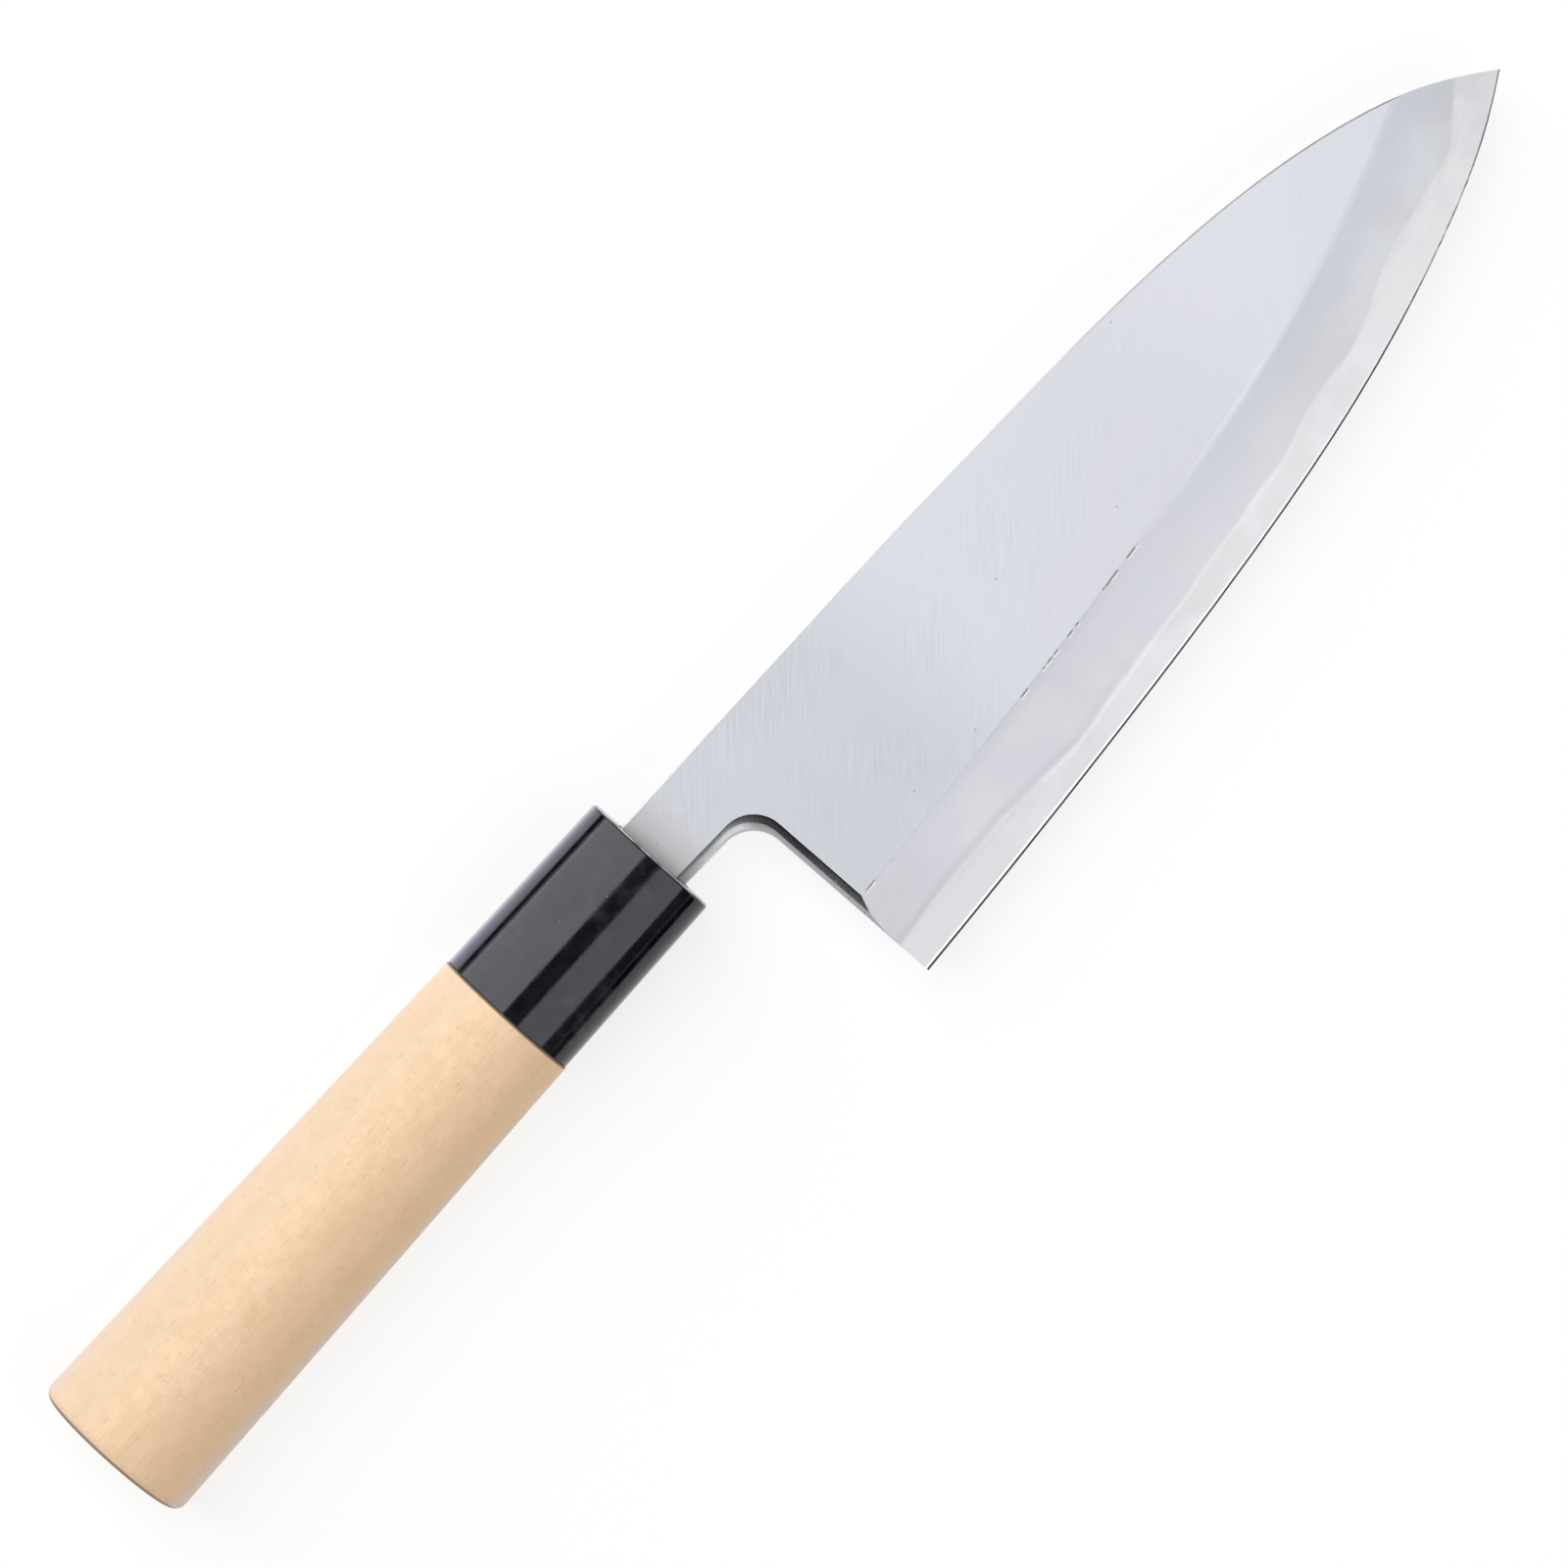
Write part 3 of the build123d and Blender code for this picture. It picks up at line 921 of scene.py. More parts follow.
@dataclass(frozen=True)
class Resin(Finish):
    """Black polished resin with a few hazy smears, specks of dust and a worn rim."""

    title: ClassVar[str] = "ferrule_resin"
    constants: ClassVar[dict[str, object]] = {"IOR": 1.50, "Specular Tint": (0.91, 0.90, 1.0, 1)}
    haft: Haft
    colour: Colour = (0.0032, 0.0031, 0.0052, 1)
    haze_colour: Colour = (0.017, 0.018, 0.021, 1)
    haze: Clouds = (0.010, 0.42, 0.62, 0.0)
    smears: Clouds = (0.0024, 0.40, 0.60, 4.0)
    mottle: Clouds = (0.0030, 0.46, 0.60, 12.0)
    mottle_share: float = 0.30
    dust_colour: Colour = (0.30, 0.30, 0.31, 1)
    dust: Specks = (0.0046, 0.028)
    worn_colour: Colour = (0.50, 0.48, 0.50, 1)
    rim_run: Span = (-0.00032, -0.00016)
    edge_run: Span = (0.01110, 0.01135)
    worn_patches: Clouds = (0.003, 0.30, 0.60, 8.0)
    worn_fade: Span = (0.1, 0.9)
    worn_shares: Span = (0.45, 1.0)
    joint_run: Span = (0.00030, 0.0)
    joint_share: float = 0.12
    scratches: Lines = (math.radians(20), 0.006, 0.0003, 0.0)
    scratch_fade: Span = (0.55, 0.75)
    scratch_share: float = 0.5
    flow: Lines = (0.0, 0.02, 0.001, 0.0)
    roughness: Span = (0.09, 0.15)
    bump: float = 0.0000018

    def dress(self, skin: Surface) -> None:
        """Draw the haze, the dust, the worn rim and the fine scratches.

        Args:
            skin: The material's nodes.
        """
        haze = skin.clouds(*self.haze)
        smears = skin.times(haze, skin.clouds(*self.smears))
        mottle = skin.times(skin.clouds(*self.mottle), self.mottle_share)
        colour = skin.mix(skin.math("MAXIMUM", smears, mottle), self.colour, self.haze_colour)
        colour = skin.mix(skin.specks(*self.dust), colour, self.dust_colour)
        edge = skin.fade(skin.from_axis(self.haft), *self.edge_run)
        rim = skin.times(skin.fade(skin.past(self.haft.mouth), *self.rim_run), edge)
        patchy = skin.fade(skin.clouds(*self.worn_patches), *self.worn_fade)
        colour = skin.over(colour, self.worn_colour, rim, skin.lerp(patchy, *self.worn_shares))
        joint = skin.fade(skin.past(self.haft.seam), *self.joint_run)
        colour = skin.over(colour, self.worn_colour, joint, self.joint_share)
        scratches = skin.fade(skin.lines(*self.scratches), *self.scratch_fade)
        height = skin.math("ADD", skin.times(scratches, self.scratch_share), skin.lines(*self.flow))
        skin.coat(colour, skin.lerp(haze, *self.roughness), height, self.bump)


@dataclass(frozen=True)
class PaleWood(Finish):
    """Pale close-grained wood, bare and smooth, with its fibres along the handle."""

    title: ClassVar[str] = "handle_wood"
    constants: ClassVar[dict[str, object]] = {"Specular IOR Level": 0.28}
    haft: Haft
    light: Colour = (0.936, 0.696, 0.470, 1)
    dark: Colour = (0.815, 0.577, 0.362, 1)
    fibres: Lines = (0.0, 0.014, 0.00032, 0.0)
    fibre_fade: Span = (0.32, 0.68)
    rings: Lines = (0.0, 0.09, 0.0032, 4.0)
    ring_fade: Span = (0.35, 0.65)
    ring_share: float = 0.35
    patches: Clouds = (0.009, 0.40, 0.62, 2.0)
    patch_share: float = 0.25
    mottle: Clouds = (0.0022, 0.42, 0.58, 7.0)
    mottle_share: float = 0.30
    fleck: Colour = (0.960, 0.760, 0.560, 1)
    flecks: Lines = (QUARTER_TURN, 0.0011, 0.00045, 3.0)
    fleck_fade: Span = (0.60, 0.72)
    fleck_share: float = 0.42
    # Painted shade on the oval's two sides, then painted shade and sheen on its rims.
    spine_side_shade: Colour = (0.675, 0.532, 0.388, 1)
    spine_side_shade_run: Span = (0.002, 0.010)
    spine_side_shade_share: float = 0.55
    edge_side_shade: Colour = (0.742, 0.505, 0.294, 1)
    edge_run: Span = (0.001, -0.010)
    edge_side_shade_share: float = 0.60
    rim_shade_and_sheen: Colour = (0.690, 0.560, 0.480, 1)
    rim_run: Span = (0.0112, 0.0134)
    rim_shade_and_sheen_share: float = 0.7
    pore: Colour = (0.50, 0.31, 0.165, 1)
    pores: Lines = (0.0, 0.0016, 0.00024, 9.0)
    pore_fade: Span = (0.62, 0.74)
    pore_share: float = 0.60
    pore_depth: float = 0.5
    end_run: Span = (0.00085, 0.00040)
    end_share: float = 0.85
    end_light: Colour = (0.640, 0.455, 0.300, 1)
    end_dark: Colour = (0.430, 0.290, 0.180, 1)
    end_rings: Lines = (QUARTER_TURN, 0.016, 0.0011, 5.0)
    end_pores: Specks = (0.0006, 0.28)
    end_rim_shade: Colour = (0.200, 0.135, 0.090, 1)
    end_rim_shade_run: Span = (0.0119, 0.0128)
    seam_dark_line: Colour = (0.130, 0.080, 0.050, 1)
    seam_dark_run: Span = (-0.00044, -0.00022)
    seam_dark_share: float = 0.8
    roughness: Span = (0.44, 0.58)
    bump: float = 0.000014

    def dress(self, skin: Surface) -> None:
        """Draw the fibres, flecks and pores, the painted shade and sheen round the oval, the butt and the
        dark line by the seam.

        Args:
            skin: The material's nodes.
        """
        fibres = skin.lines(*self.fibres)
        rings = skin.fade(skin.lines(*self.rings), *self.ring_fade)
        tone = skin.lerp(self.ring_share, skin.fade(fibres, *self.fibre_fade), rings)
        tone = skin.lerp(self.patch_share, tone, skin.clouds(*self.patches))
        tone = skin.lerp(self.mottle_share, tone, skin.clouds(*self.mottle))
        colour = skin.mix(tone, self.dark, self.light)
        flecks = skin.fade(skin.lines(*self.flecks), *self.fleck_fade)
        colour = skin.over(colour, self.fleck, flecks, self.fleck_share)
        # Painted shade: both sides of the oval darker, the edge side more, for how the lamps fall.
        across = skin.math("SUBTRACT", skin.y, self.haft.axis.y)
        colour = skin.over(colour, self.spine_side_shade, skin.fade(across, *self.spine_side_shade_run), self.spine_side_shade_share)
        colour = skin.over(colour, self.edge_side_shade, skin.fade(across, *self.edge_run), self.edge_side_shade_share)
        # Painted shade and sheen along the oval's rims.
        side = skin.fade(skin.math("ABSOLUTE", across), *self.rim_run)
        colour = skin.over(colour, self.rim_shade_and_sheen, side, self.rim_shade_and_sheen_share)
        pores = skin.fade(skin.lines(*self.pores), *self.pore_fade)
        colour = skin.over(colour, self.pore, pores, self.pore_share)
        end = skin.fade(skin.past(self.haft.butt), *self.end_run)
        colour = skin.over(colour, self._end_grain(skin), end, self.end_share)
        # A dark line along the wood's edge at the seam.
        seam_darkening = skin.fade(skin.past(self.haft.seam), *self.seam_dark_run)
        colour = skin.over(colour, self.seam_dark_line, seam_darkening, self.seam_dark_share)
        height = skin.math("SUBTRACT", fibres, skin.times(pores, self.pore_depth))
        skin.coat(colour, skin.lerp(fibres, *self.roughness), height, self.bump)

    def _end_grain(self, skin: Surface) -> Socket:
        """Mix the colour of the butt's end grain, with painted shade round its rim.

        Args:
            skin: The material's nodes.

        Returns:
            The colour.
        """
        rings = skin.fade(skin.lines(*self.end_rings), *self.ring_fade)
        face = skin.mix(rings, self.end_dark, self.end_light)
        face = skin.over(face, self.pore, skin.specks(*self.end_pores), self.pore_share)
        # Painted shade: a dark line round the butt's rounded rim.
        return skin.mix(skin.fade(skin.from_axis(self.haft), *self.end_rim_shade_run), face, self.end_rim_shade)


class OvalForm:
    """A body made of oval rings set square to the handle's axis, drawn out one from another."""

    def __init__(self, haft: Haft) -> None:
        """Start an empty form."""
        self.mesh = bmesh.new()
        self.haft = haft

    def first_ring(self, along: float, size: Span) -> Ring:
        """Make a free oval ring.

        Args:
            along: Its place along X.
            size: Its whole width and thickness.

        Returns:
            The ring's edges.
        """
        spot = Matrix.Translation((along, *self.haft.axis.yz))
        shape = Matrix.Diagonal((1, size[0] / 2, size[1] / 2, 1))
        upright = Matrix.Rotation(QUARTER_TURN, 4, "Y")
        made = bmesh.ops.create_circle(
            self.mesh, segments=self.haft.segments, radius=1, matrix=spot @ shape @ upright
        )
        return list({edge for vert in made["verts"] for edge in vert.link_edges})

    def draw_out(self, ring: Ring, along: float, scale: Span, middle: Vector) -> Ring:
        """Draw the next ring out of the last one.

        Args:
            ring: The last ring's edges.
            along: The new ring's place along X.
            scale: How its width and thickness change.
            middle: The middle that they change about; only Y and Z are read.

        Returns:
            The new ring's edges.
        """
        made = bmesh.ops.extrude_edge_only(self.mesh, edges=ring)
        verts = [item for item in made["geom"] if isinstance(item, bmesh.types.BMVert)]
        here = Vector((verts[0].co.x, *middle.yz))
        bmesh.ops.scale(self.mesh, vec=(1, *scale), space=Matrix.Translation(-here), verts=verts)
        bmesh.ops.translate(self.mesh, vec=(along - here.x, 0, 0), verts=verts)
        edges = [item for item in made["geom"] if isinstance(item, bmesh.types.BMEdge)]
        fresh = set(verts)
        return [edge for edge in edges if fresh.issuperset(edge.verts)]

    def ovals(self, ring: Ring, places: Iterable[Section]) -> Ring:
        """Draw a row of rings out of the last one.

        Args:
            ring: The last ring's edges.
            places: Place, width and thickness of each new ring.

        Returns:
            The end ring's edges.
        """
        axis = self.haft.axis
        for along, width, thickness in places:
            points = [vert.co for edge in ring for vert in edge.verts]
            last_width = 2 * max(abs(point.y - axis.y) for point in points)
            last_thickness = 2 * max(abs(point.z - axis.z) for point in points)
            ring = self.draw_out(ring, along, (width / last_width, thickness / last_thickness), axis)
        return ring

    def slot(self, along: float) -> Ring:
        """Make a free oblong ring, the outline of the neck's slot.

        Args:
            along: Its place along X.

        Returns:
            The ring's edges.
        """
        haft = self.haft
        known = set(self.mesh.edges)
        spot = Matrix.Translation((along, *haft.slot_middle.yz))
        shape = Matrix.Diagonal((1, haft.slot[0] / 2, haft.slot[1] / 2, 1))
        corners = Matrix.Rotation(QUARTER_TURN, 4, "Y") @ Matrix.Rotation(QUARTER_TURN / 2, 4, "Z")
        bmesh.ops.create_circle(self.mesh, segments=4, radius=math.sqrt(2), matrix=spot @ shape @ corners)
        sides = [edge for edge in self.mesh.edges if edge not in known]
        bmesh.ops.subdivide_edges(self.mesh, edges=sides, cuts=haft.slot_cuts)
        return [edge for edge in self.mesh.edges if edge not in known]

    def join(self, first: Ring, second: Ring) -> None:
        """Bridge two rings."""
        bmesh.ops.bridge_loops(self.mesh, edges=first + second)

    def close(self, ring: Ring) -> None:
        """Fill a ring with one face."""
        bmesh.ops.contextual_create(self.mesh, geom=ring)

    def piece(self, node: str, slot: Slot, finish: Finish, effects: SharedEffects) -> bpy.types.Object:
        """Finish the form as the piece that stands for a CAD node.

        Args:
            node: The CAD node's name.
            slot: Its material slot.
            finish: The piece's finish.
            effects: The shared node groups.

        Returns:
            The new object.
        """
        bmesh.ops.remove_doubles(self.mesh, verts=self.mesh.verts, dist=MERGE_DISTANCE)
        bmesh.ops.recalc_face_normals(self.mesh, faces=self.mesh.faces)
        piece = finished(self.mesh, node + "_dressed", SHARP)
        piece.data.materials.append(finish.material(effects))
        declare(piece, slot, node)
        return piece


def finished(mesh: bmesh.types.BMesh, name: str, sharp: float) -> bpy.types.Object:
    """Write a bmesh to a smooth-shaded object whose hard edges stay hard.

    Args:
        mesh: The mesh, which is freed.
        name: The object's name.
        sharp: Angle between faces past which an edge stays sharp.

    Returns:
        The new object.
    """
    for face in mesh.faces:
        face.smooth = True
    for edge in mesh.edges:
        edge.smooth = len(edge.link_faces) == 2 and edge.calc_face_angle(0) < sharp
    data = bpy.data.meshes.new(name)
    mesh.to_mesh(data)
    mesh.free()
    piece = bpy.data.objects.new(name, data)
    bpy.context.scene.collection.objects.link(piece)
    return piece


def declare(piece: bpy.types.Object, slot: Slot, *nodes: str) -> None:
    """Ride a piece on the knife and hide the CAD nodes that it stands for.

    Args:
        piece: The piece.
        slot: The material slot that it takes its finish from; it is not used.
        *nodes: The CAD nodes that it replaces.
    """
    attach(piece, BODY)
    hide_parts(*nodes)


@dataclass
class Handle:
    """The wooden handle: it swells from the seam to a rounded butt and has a tenon in the ferrule."""

    haft: Haft
    butt_width: float = 0.0279
    shoulder_width: float = 0.0247
    butt_round: float = 0.0018
    slot_end: Span = (0.0060, 0.0026)
    slot_depth: float = 0.0846

    def build(self, effects: SharedEffects) -> bpy.types.Object:
        """Build and dress the handle.

        Args:
            effects: The shared node groups.

        Returns:
            The handle's object.
        """
        haft = self.haft
        form = OvalForm(haft)
        tenon = inset(haft.oval(haft.mouth_width), haft.wall + haft.glue_gap)
        tenon_end = haft.mouth - haft.face - haft.glue_gap
        shoulder = haft.oval(self.shoulder_width)
        places = [
            (haft.seam, *tenon),
            (haft.seam, *inset(shoulder, haft.seam_bevel)),
            (haft.seam - haft.seam_bevel, *shoulder),
            *haft.rounded(haft.butt, self.butt_width, self.butt_round, -1),
        ]
        start = form.first_ring(tenon_end, tenon)
        form.close(form.ovals(start, places))
        slot = form.slot(tenon_end)
        taper = (self.slot_end[0] / haft.slot[0], self.slot_end[1] / haft.slot[1])
        form.close(form.draw_out(slot, tenon_end - self.slot_depth, taper, haft.slot_middle))
        form.join(start, slot)
        return form.piece("handle", Slot.WOOD, PaleWood(haft), effects)


@dataclass
class Ferrule:
    """The black resin ferrule: an oval cap whose face has a slot for the blade's neck."""

    haft: Haft
    mouth_round: float = 0.0006

    def build(self, effects: SharedEffects) -> bpy.types.Object:
        """Build and dress the ferrule.

        Args:
            effects: The shared node groups.

        Returns:
            The ferrule's object.
        """
        haft = self.haft
        form = OvalForm(haft)
        bore = inset(haft.oval(haft.mouth_width), haft.wall)
        bore_end = haft.mouth - haft.face
        seam = haft.oval(haft.seam_width)
        places = [
            (haft.seam, *bore),
            (haft.seam, *inset(seam, haft.seam_bevel)),
            (haft.seam + haft.seam_bevel, *seam),
            *haft.rounded(haft.mouth, haft.mouth_width, self.mouth_round, 1),
        ]
        start = form.first_ring(bore_end, bore)
        front = form.ovals(start, places)
        slot = form.slot(haft.mouth)
        inner = form.draw_out(slot, bore_end, (1, 1), haft.slot_middle)
        form.join(front, slot)
        form.join(start, inner)
        return form.piece("ferrule", Slot.RESIN, Resin(haft), effects)


@dataclass
class BladePart:
    """One layer of the blade: a merged copy of its CAD node, with a finish for each kind of face."""

    node: str
    slot: Slot
    classify: Callable[[bmesh.types.BMFace], Region]
    finishes: dict[Region, bpy.types.Material]
    upper: Measure
    lower: Measure
    borders: tuple[Region, Region]
    flat_angle: float = math.radians(0.15)
    sharp: float = math.radians(7)
    regions: dict[Region, int] = field(default_factory=dict)

    def build(self) -> bpy.types.Object:
        """Copy, merge, sort and dress the layer.

        Returns:
            The layer's object.
        """
        mesh = bmesh.new()
        mesh.from_mesh(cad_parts[self.node].data)
        for measure in (self.upper, self.lower):
            mesh.verts.layers.float.new(measure.value)
        bmesh.ops.remove_doubles(mesh, verts=mesh.verts, dist=MERGE_DISTANCE)
        bmesh.ops.dissolve_limit(mesh, angle_limit=self.flat_angle, verts=mesh.verts, edges=mesh.edges)
        order = list(self.finishes)
        kinds = {face: self.classify(face) for face in mesh.faces}
        for face, kind in kinds.items():
            face.material_index = order.index(kind)
            self.regions[kind] = self.regions.get(kind, 0) + 1
        self._measure(mesh, kinds)
        piece = finished(mesh, self.node + "_dressed", self.sharp)
        for kind in order:
            piece.data.materials.append(self.finishes[kind])
        declare(piece, self.slot, self.node)
        return piece

    def _measure(self, mesh: bmesh.types.BMesh, kinds: dict) -> None:
        """Keep each bevel point's distance from the bevel's upper and lower lines.

        Args:
            mesh: The layer's mesh.
            kinds: The kind of each face.
        """
        top, low = (self._border(mesh, kinds, neighbour) for neighbour in self.borders)
        upper = mesh.verts.layers.float[self.upper.value]
        lower = mesh.verts.layers.float[self.lower.value]
        for vert in {vert for face, kind in kinds.items() if kind is Region.BEVEL for vert in face.verts}:
            vert[upper] = max(0.0, between(top, vert.co.x) - vert.co.y)
            vert[lower] = max(0.0, vert.co.y - between(low, vert.co.x))

    @staticmethod
    def _border(mesh: bmesh.types.BMesh, kinds: dict, neighbour: Region) -> list[Span]:
        """Trace the line where the bevel meets another kind of face.

        Args:
            mesh: The layer's mesh.
            kinds: The kind of each face.
            neighbour: The kind of face beyond the line.

        Returns:
            The line's points in plan, sorted along X.
        """
        wanted = {Region.BEVEL, neighbour}
        edges = (edge for edge in mesh.edges if {kinds[face] for face in edge.link_faces} == wanted)
        return sorted({tuple(vert.co.xy) for edge in edges for vert in edge.verts})


def between(line: list[Span], along: float) -> float:
    """Read a line given by sorted points at a place along it.

    Args:
        line: Points of the line, sorted along X.
        along: The place along X.

    Returns:
        The line's height there.
    """
    if along <= line[0][0]:
        return line[0][1]
    for (x0, y0), (x1, y1) in zip(line, line[1:]):
        if along <= x1:
            return y0 + (y1 - y0) * (along - x0) / (x1 - x0) if x1 > x0 else y1
    return line[-1][1]


@dataclass
class Blade:
    """The blade: soft iron welded over hard steel, ground on one side only."""

    haft: Haft
    tang_cover: float = 0.0021
    flat_lean: float = math.cos(math.radians(4))
    bevel_lean: float = math.cos(math.radians(20))
    honed_lean: float = math.cos(math.radians(45))
    honed_dip: float = -0.3
    honed_turn: float = 0.5
    spine_rise: float = 0.5

    def kind_of_iron(self, face: bmesh.types.BMFace) -> Region:
        """Sort a face of the soft iron, where all that the ferrule covers is the tang."""
        covered = face.calc_center_median().x < self.haft.mouth - self.tang_cover
        return Region.TANG if covered else self.kind(face)

    def kind(self, face: bmesh.types.BMFace) -> Region:
        """Sort a face of the blade by how it leans.

        Args:
            face: The face.

        Returns:
            Its kind.
        """
        lean = face.normal
        if lean.z > self.flat_lean:
            return Region.FLAT
        if lean.z > self.bevel_lean and lean.y < 0:
            return Region.BEVEL
        if lean.z > self.honed_lean and lean.y < self.honed_dip and abs(lean.x) < self.honed_turn:
            return Region.HONED
        if lean.z < -self.bevel_lean:
            return Region.BACK
        if lean.y > self.spine_rise:
            return Region.SPINE
        return Region.RELIEF

    def build(self, effects: SharedEffects) -> list[bpy.types.Object]:
        """Build and dress both layers.

        Args:
            effects: The shared node groups.

        Returns:
            The iron's object and the steel's.
        """
        haft = self.haft
        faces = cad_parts["blade_body"].data.polygons
        widest = max((face for face in faces if face.normal.z > self.flat_lean), key=lambda face: face.area)
        flat = Plane(widest.center.copy(), widest.normal.copy())
        tones = BevelTones(haft)
        plain = PlainSteel().material(effects)
        relief = GroundRelief(haft, flat).material(effects)
        iron = {kind: plain for kind in Region} | {
            Region.FLAT: IronFlat(haft).material(effects),
            Region.BEVEL: IronBevel(tones).material(effects),
            Region.HONED: relief,
            Region.RELIEF: relief,
            Region.SPINE: EasedSpine(haft=haft, flat=flat).material(effects),
        }
        steel = {kind: plain for kind in Region} | {
            Region.HONED: HonedEdge(haft).material(effects),
            Region.BEVEL: SteelBevel(tones).material(effects),
        }
        parts = [
            BladePart("blade_body", Slot.SOFT_IRON, self.kind_of_iron, iron,
                      Measure.BELOW_RIDGE, Measure.ABOVE_WELD, (Region.FLAT, Region.BACK)),
            BladePart("edge_steel", Slot.HARD_STEEL, self.kind, steel,
                      Measure.BELOW_WELD, Measure.ABOVE_EDGE, (Region.FLAT, Region.HONED)),
        ]
        pieces = [part.build() for part in parts]
        for part in parts:
            log.info("%s: faces %s", part.node, {kind.value: count for kind, count in part.regions.items()})
        return pieces


@dataclass(frozen=True)
class Softbox:
    """A rectangular lamp beside the knife."""

    name: str
    lean: float
    distance: float
    across: float
    along: float
    radiance: float

    def build(self, centre: Vector) -> bpy.types.Object:
        """Hang the lamp.

        Args:
            centre: The point it faces.

        Returns:
            The lamp's object.
        """
        lamp = bpy.data.lights.new(self.name, "AREA")
        lamp.shape = "RECTANGLE"
        lamp.size = self.along
        lamp.size_y = self.across
        lamp.energy = self.radiance * math.pi * self.across * self.along
        hung = bpy.data.objects.new(self.name, lamp)
        hung.location = centre + Vector((0, math.sin(self.lean), math.cos(self.lean))) * self.distance
        hung.rotation_euler = (-self.lean, 0, 0)
        hung.visible_camera = False
        bpy.context.scene.collection.objects.link(hung)
        return hung


@dataclass(frozen=True)
class Flag:
    """A narrow card beside the handle, seen by gloss alone and casting no shadow: it paints a reflected line
    along the resin, dark from a black card and bright from a glowing one.
    """

    name: str
    low: Span
    high: Span
    tone: Colour = BLACK
    short: bool = False
    overlap: float = 0.02
    short_overlap: float = 0.003

    def build(self, haft: Haft, effects: SharedEffects) -> bpy.types.Object:
        """Set the card along the handle, between two lines given by their places across and up.

        Args:
            haft: The handle's and the ferrule's places.
            effects: The shared node groups.

        Returns:
            The card's object.
        """
        rear = haft.seam - self.short_overlap if self.short else haft.butt - self.overlap
        front = haft.mouth + (self.short_overlap if self.short else self.overlap)
        across = Vector(self.high) - Vector(self.low)
        middle = (Vector(self.high) + Vector(self.low)) / 2
        spot = Matrix.Translation(((front + rear) / 2, haft.axis.y + middle.x, middle.y))
        lean = Matrix.Rotation(math.atan2(across.y, across.x), 4, "X")
        shape = Matrix.Diagonal(((front - rear) / 2, across.length / 2, 1, 1))
        mesh = bmesh.new()
        bmesh.ops.create_grid(mesh, x_segments=1, y_segments=1, size=1, matrix=spot @ lean @ shape)
        card = finished(mesh, self.name, SHARP)
        matt = {"Base Color": BLACK, "Roughness": 1.0, "Specular IOR Level": 0.0}
        # A glowing tone makes the card a painted bright reflection, though it is no lamp.
        glow = {"Emission Color": self.tone, "Emission Strength": 1.0}
        card.data.materials.append(Surface(self.name, effects, matt | glow).material)
        card.visible_camera = False
        card.visible_diffuse = False
        card.visible_shadow = False
        return card


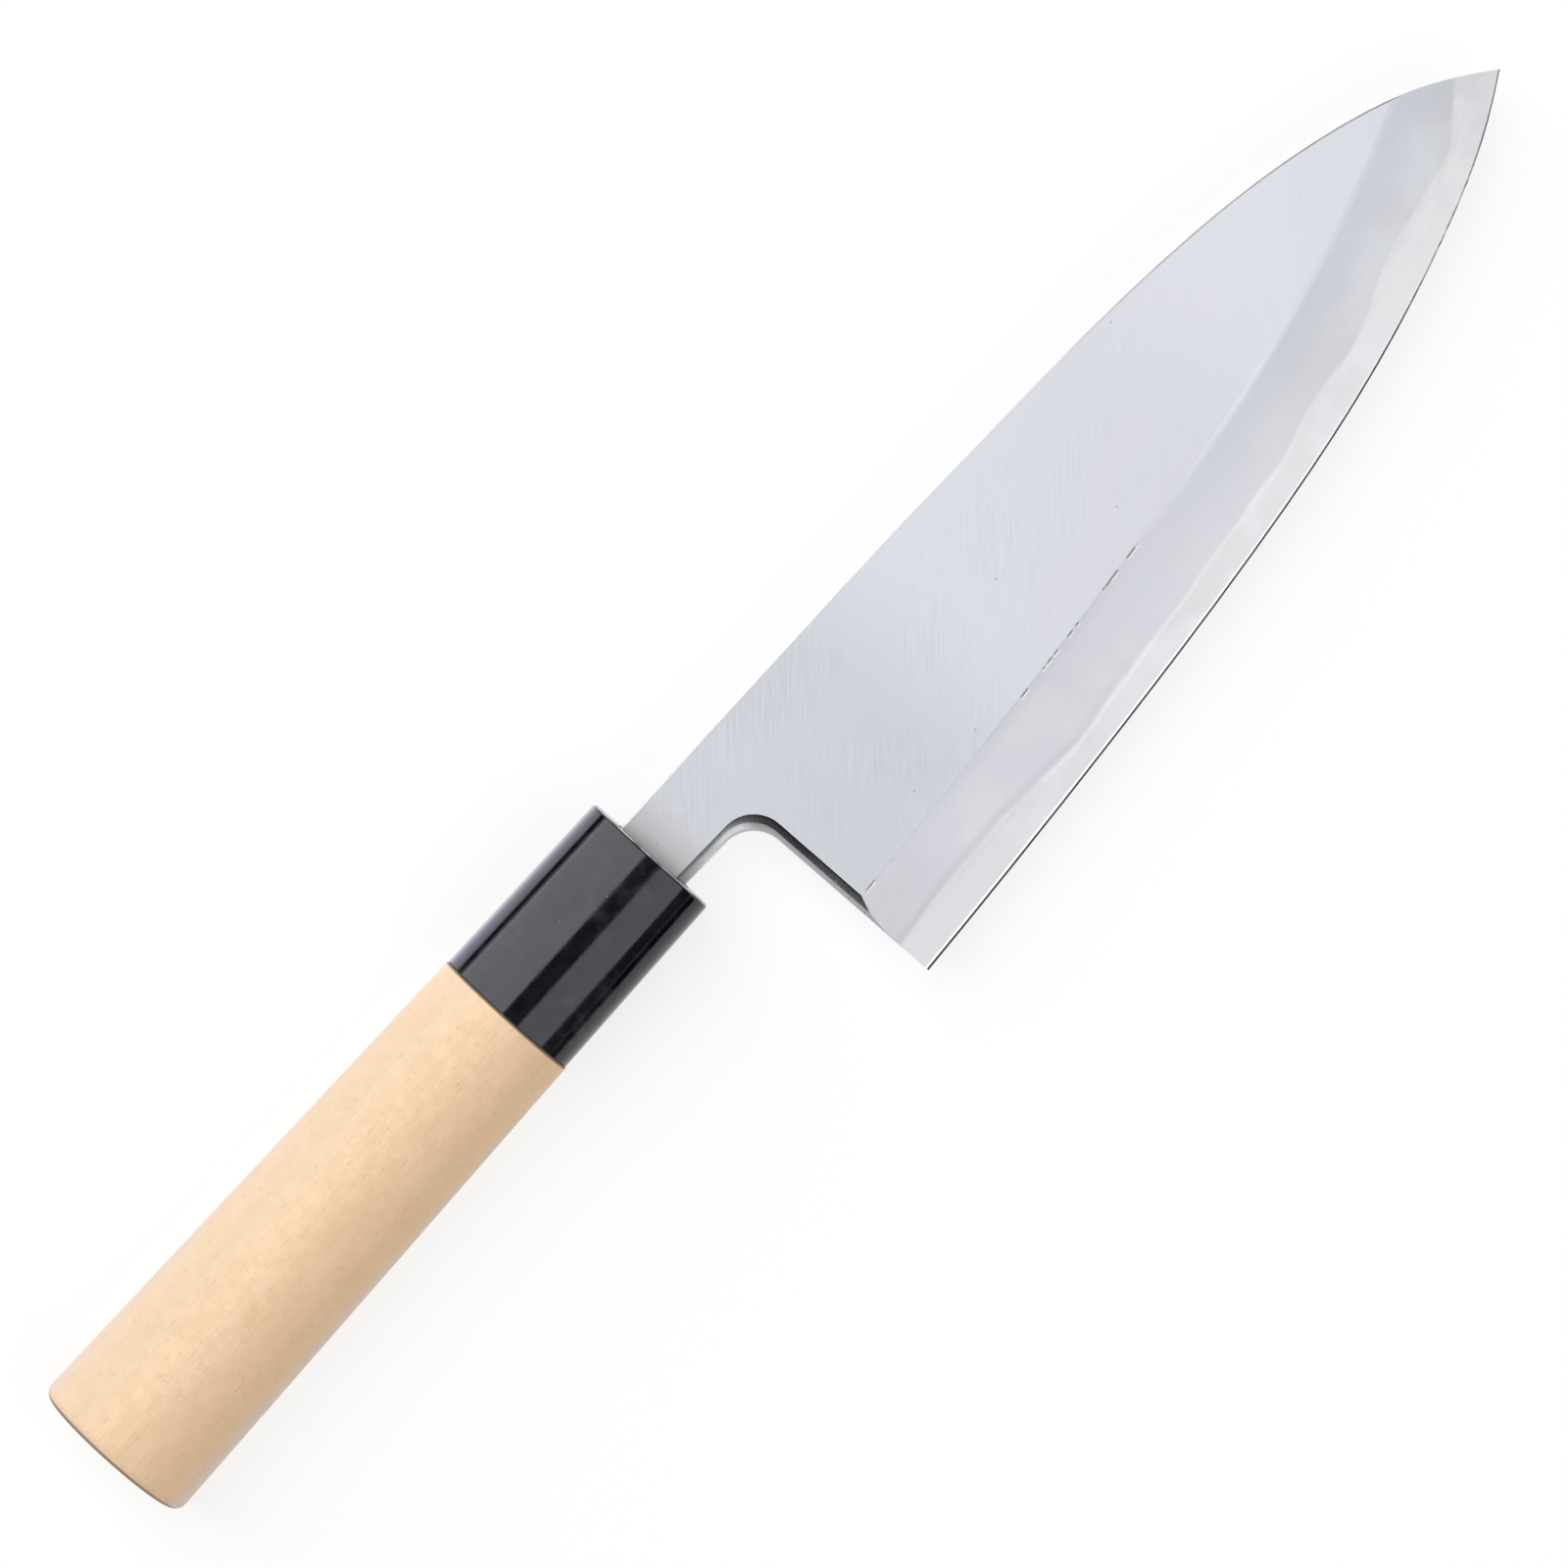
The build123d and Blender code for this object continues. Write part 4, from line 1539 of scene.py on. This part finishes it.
@dataclass
class Studio:
    """The pale floor, the soft lamps, the room's faint light and the camera above the knife."""

    view_centre: tuple[float, float, float] = (-0.00515, 0.007125, 0.011)
    camera_distance: float = 1.0
    knife_angle: float = math.radians(47.889)
    lens: float = 148.05
    sensor: float = 36.0
    floor_half: float = 6.0
    floor_run: Span = (0.5, 1.6)
    floor_colour: Colour = (0.24, 0.24, 0.24, 1)
    floor_glow: Colour = (0.775, 0.775, 0.775, 1)
    floor_roughness: float = 0.9
    room_run: Span = (0.12, 0.16)
    room_levels: Span = (1.0, 0.09)
    boxes: tuple[Softbox, ...] = (
        Softbox("spine_side_softbox", math.radians(44.8), 1.0, 1.68, 0.9, 2.89),
        Softbox("edge_side_softbox", math.radians(-39.9), 1.0, 0.795, 0.9, 1.86),
    )
    # Painted reflections: black cards draw dark lines in the resin, the glowing card a bright rim.
    flags: tuple[Flag, ...] = (
        Flag("spine_side_flag", (0.080, 0.0040), (0.080, 0.0164)),
        Flag("edge_side_flag", (-0.150, 0.0), (-0.150, 0.034)),
        Flag("spine_side_glow_card", (0.0165, 0.0006), (0.078, 0.0006), (2.15, 2.00, 2.33, 1), True),
    )

    def build(self, effects: SharedEffects, haft: Haft) -> None:
        """Set the whole studio up.

        Args:
            effects: The shared node groups.
            haft: The handle's and the ferrule's places.
        """
        centre = Vector(self.view_centre)
        self._camera(centre)
        self._floor(effects)
        self._room()
        for box in self.boxes:
            box.build(centre)
        for flag in self.flags:
            flag.build(haft, effects)
        bpy.context.scene.view_settings.view_transform = "Standard"

    def _camera(self, centre: Vector) -> None:
        """Hang the camera straight above the knife, turned as the photograph was.

        Args:
            centre: The point it looks down at.
        """
        lens = bpy.data.cameras.new("camera")
        lens.sensor_width = self.sensor
        lens.lens = self.lens
        camera = bpy.data.objects.new("camera", lens)
        camera.location = centre + Vector((0, 0, self.camera_distance))
        camera.rotation_euler = (0, 0, -self.knife_angle)
        bpy.context.scene.collection.objects.link(camera)
        bpy.context.scene.camera = camera

    def _floor(self, effects: SharedEffects) -> None:
        """Lay the floor: lit white paper near the knife, plain white far from it.

        Args:
            effects: The shared node groups.
        """
        mesh = bmesh.new()
        bmesh.ops.create_grid(mesh, x_segments=1, y_segments=1, size=self.floor_half)
        floor = finished(mesh, "floor", SHARP)
        paper = {"Roughness": self.floor_roughness, "Specular IOR Level": 0.0, "Emission Strength": 1.0}
        skin = Surface("floor_paper", effects, paper)
        far = skin.fade(skin.scalar("LENGTH", skin.place), *self.floor_run)
        skin.feed("Base Color", skin.mix(far, self.floor_colour, BLACK))
        skin.feed("Emission Color", skin.mix(far, self.floor_glow, WHITE))
        floor.data.materials.append(skin.material)

    def _room(self) -> None:
        """Light the room: white low down, dim above the lamps."""
        world = bpy.data.worlds.new("room")
        world.use_nodes = True
        world.node_tree.nodes.clear()
        wires = Wiring(world.node_tree)
        direction = wires.node("ShaderNodeTexCoord").outputs["Generated"]
        height = wires.node("ShaderNodeSeparateXYZ", {0: direction}).outputs["Z"]
        level = wires.lerp(wires.fade(height, *self.room_run), *self.room_levels)
        sky = wires.node("ShaderNodeBackground", {"Color": level, "Strength": 1.0})
        wires.node("ShaderNodeOutputWorld", {"Surface": sky.outputs[0]})
        bpy.context.scene.world = world


def main() -> None:
    """Build, dress and light the knife."""
    logging.basicConfig(level=logging.INFO, format="%(name)s: %(message)s")
    effects = SharedEffects()
    haft = Haft()
    pieces = [Handle(haft).build(effects), Ferrule(haft).build(effects), *Blade(haft).build(effects)]
    for piece in pieces:
        log.info("%s: %d faces", piece.name, len(piece.data.polygons))
    Studio().build(effects, haft)


if __name__ == "__main__":
    main()
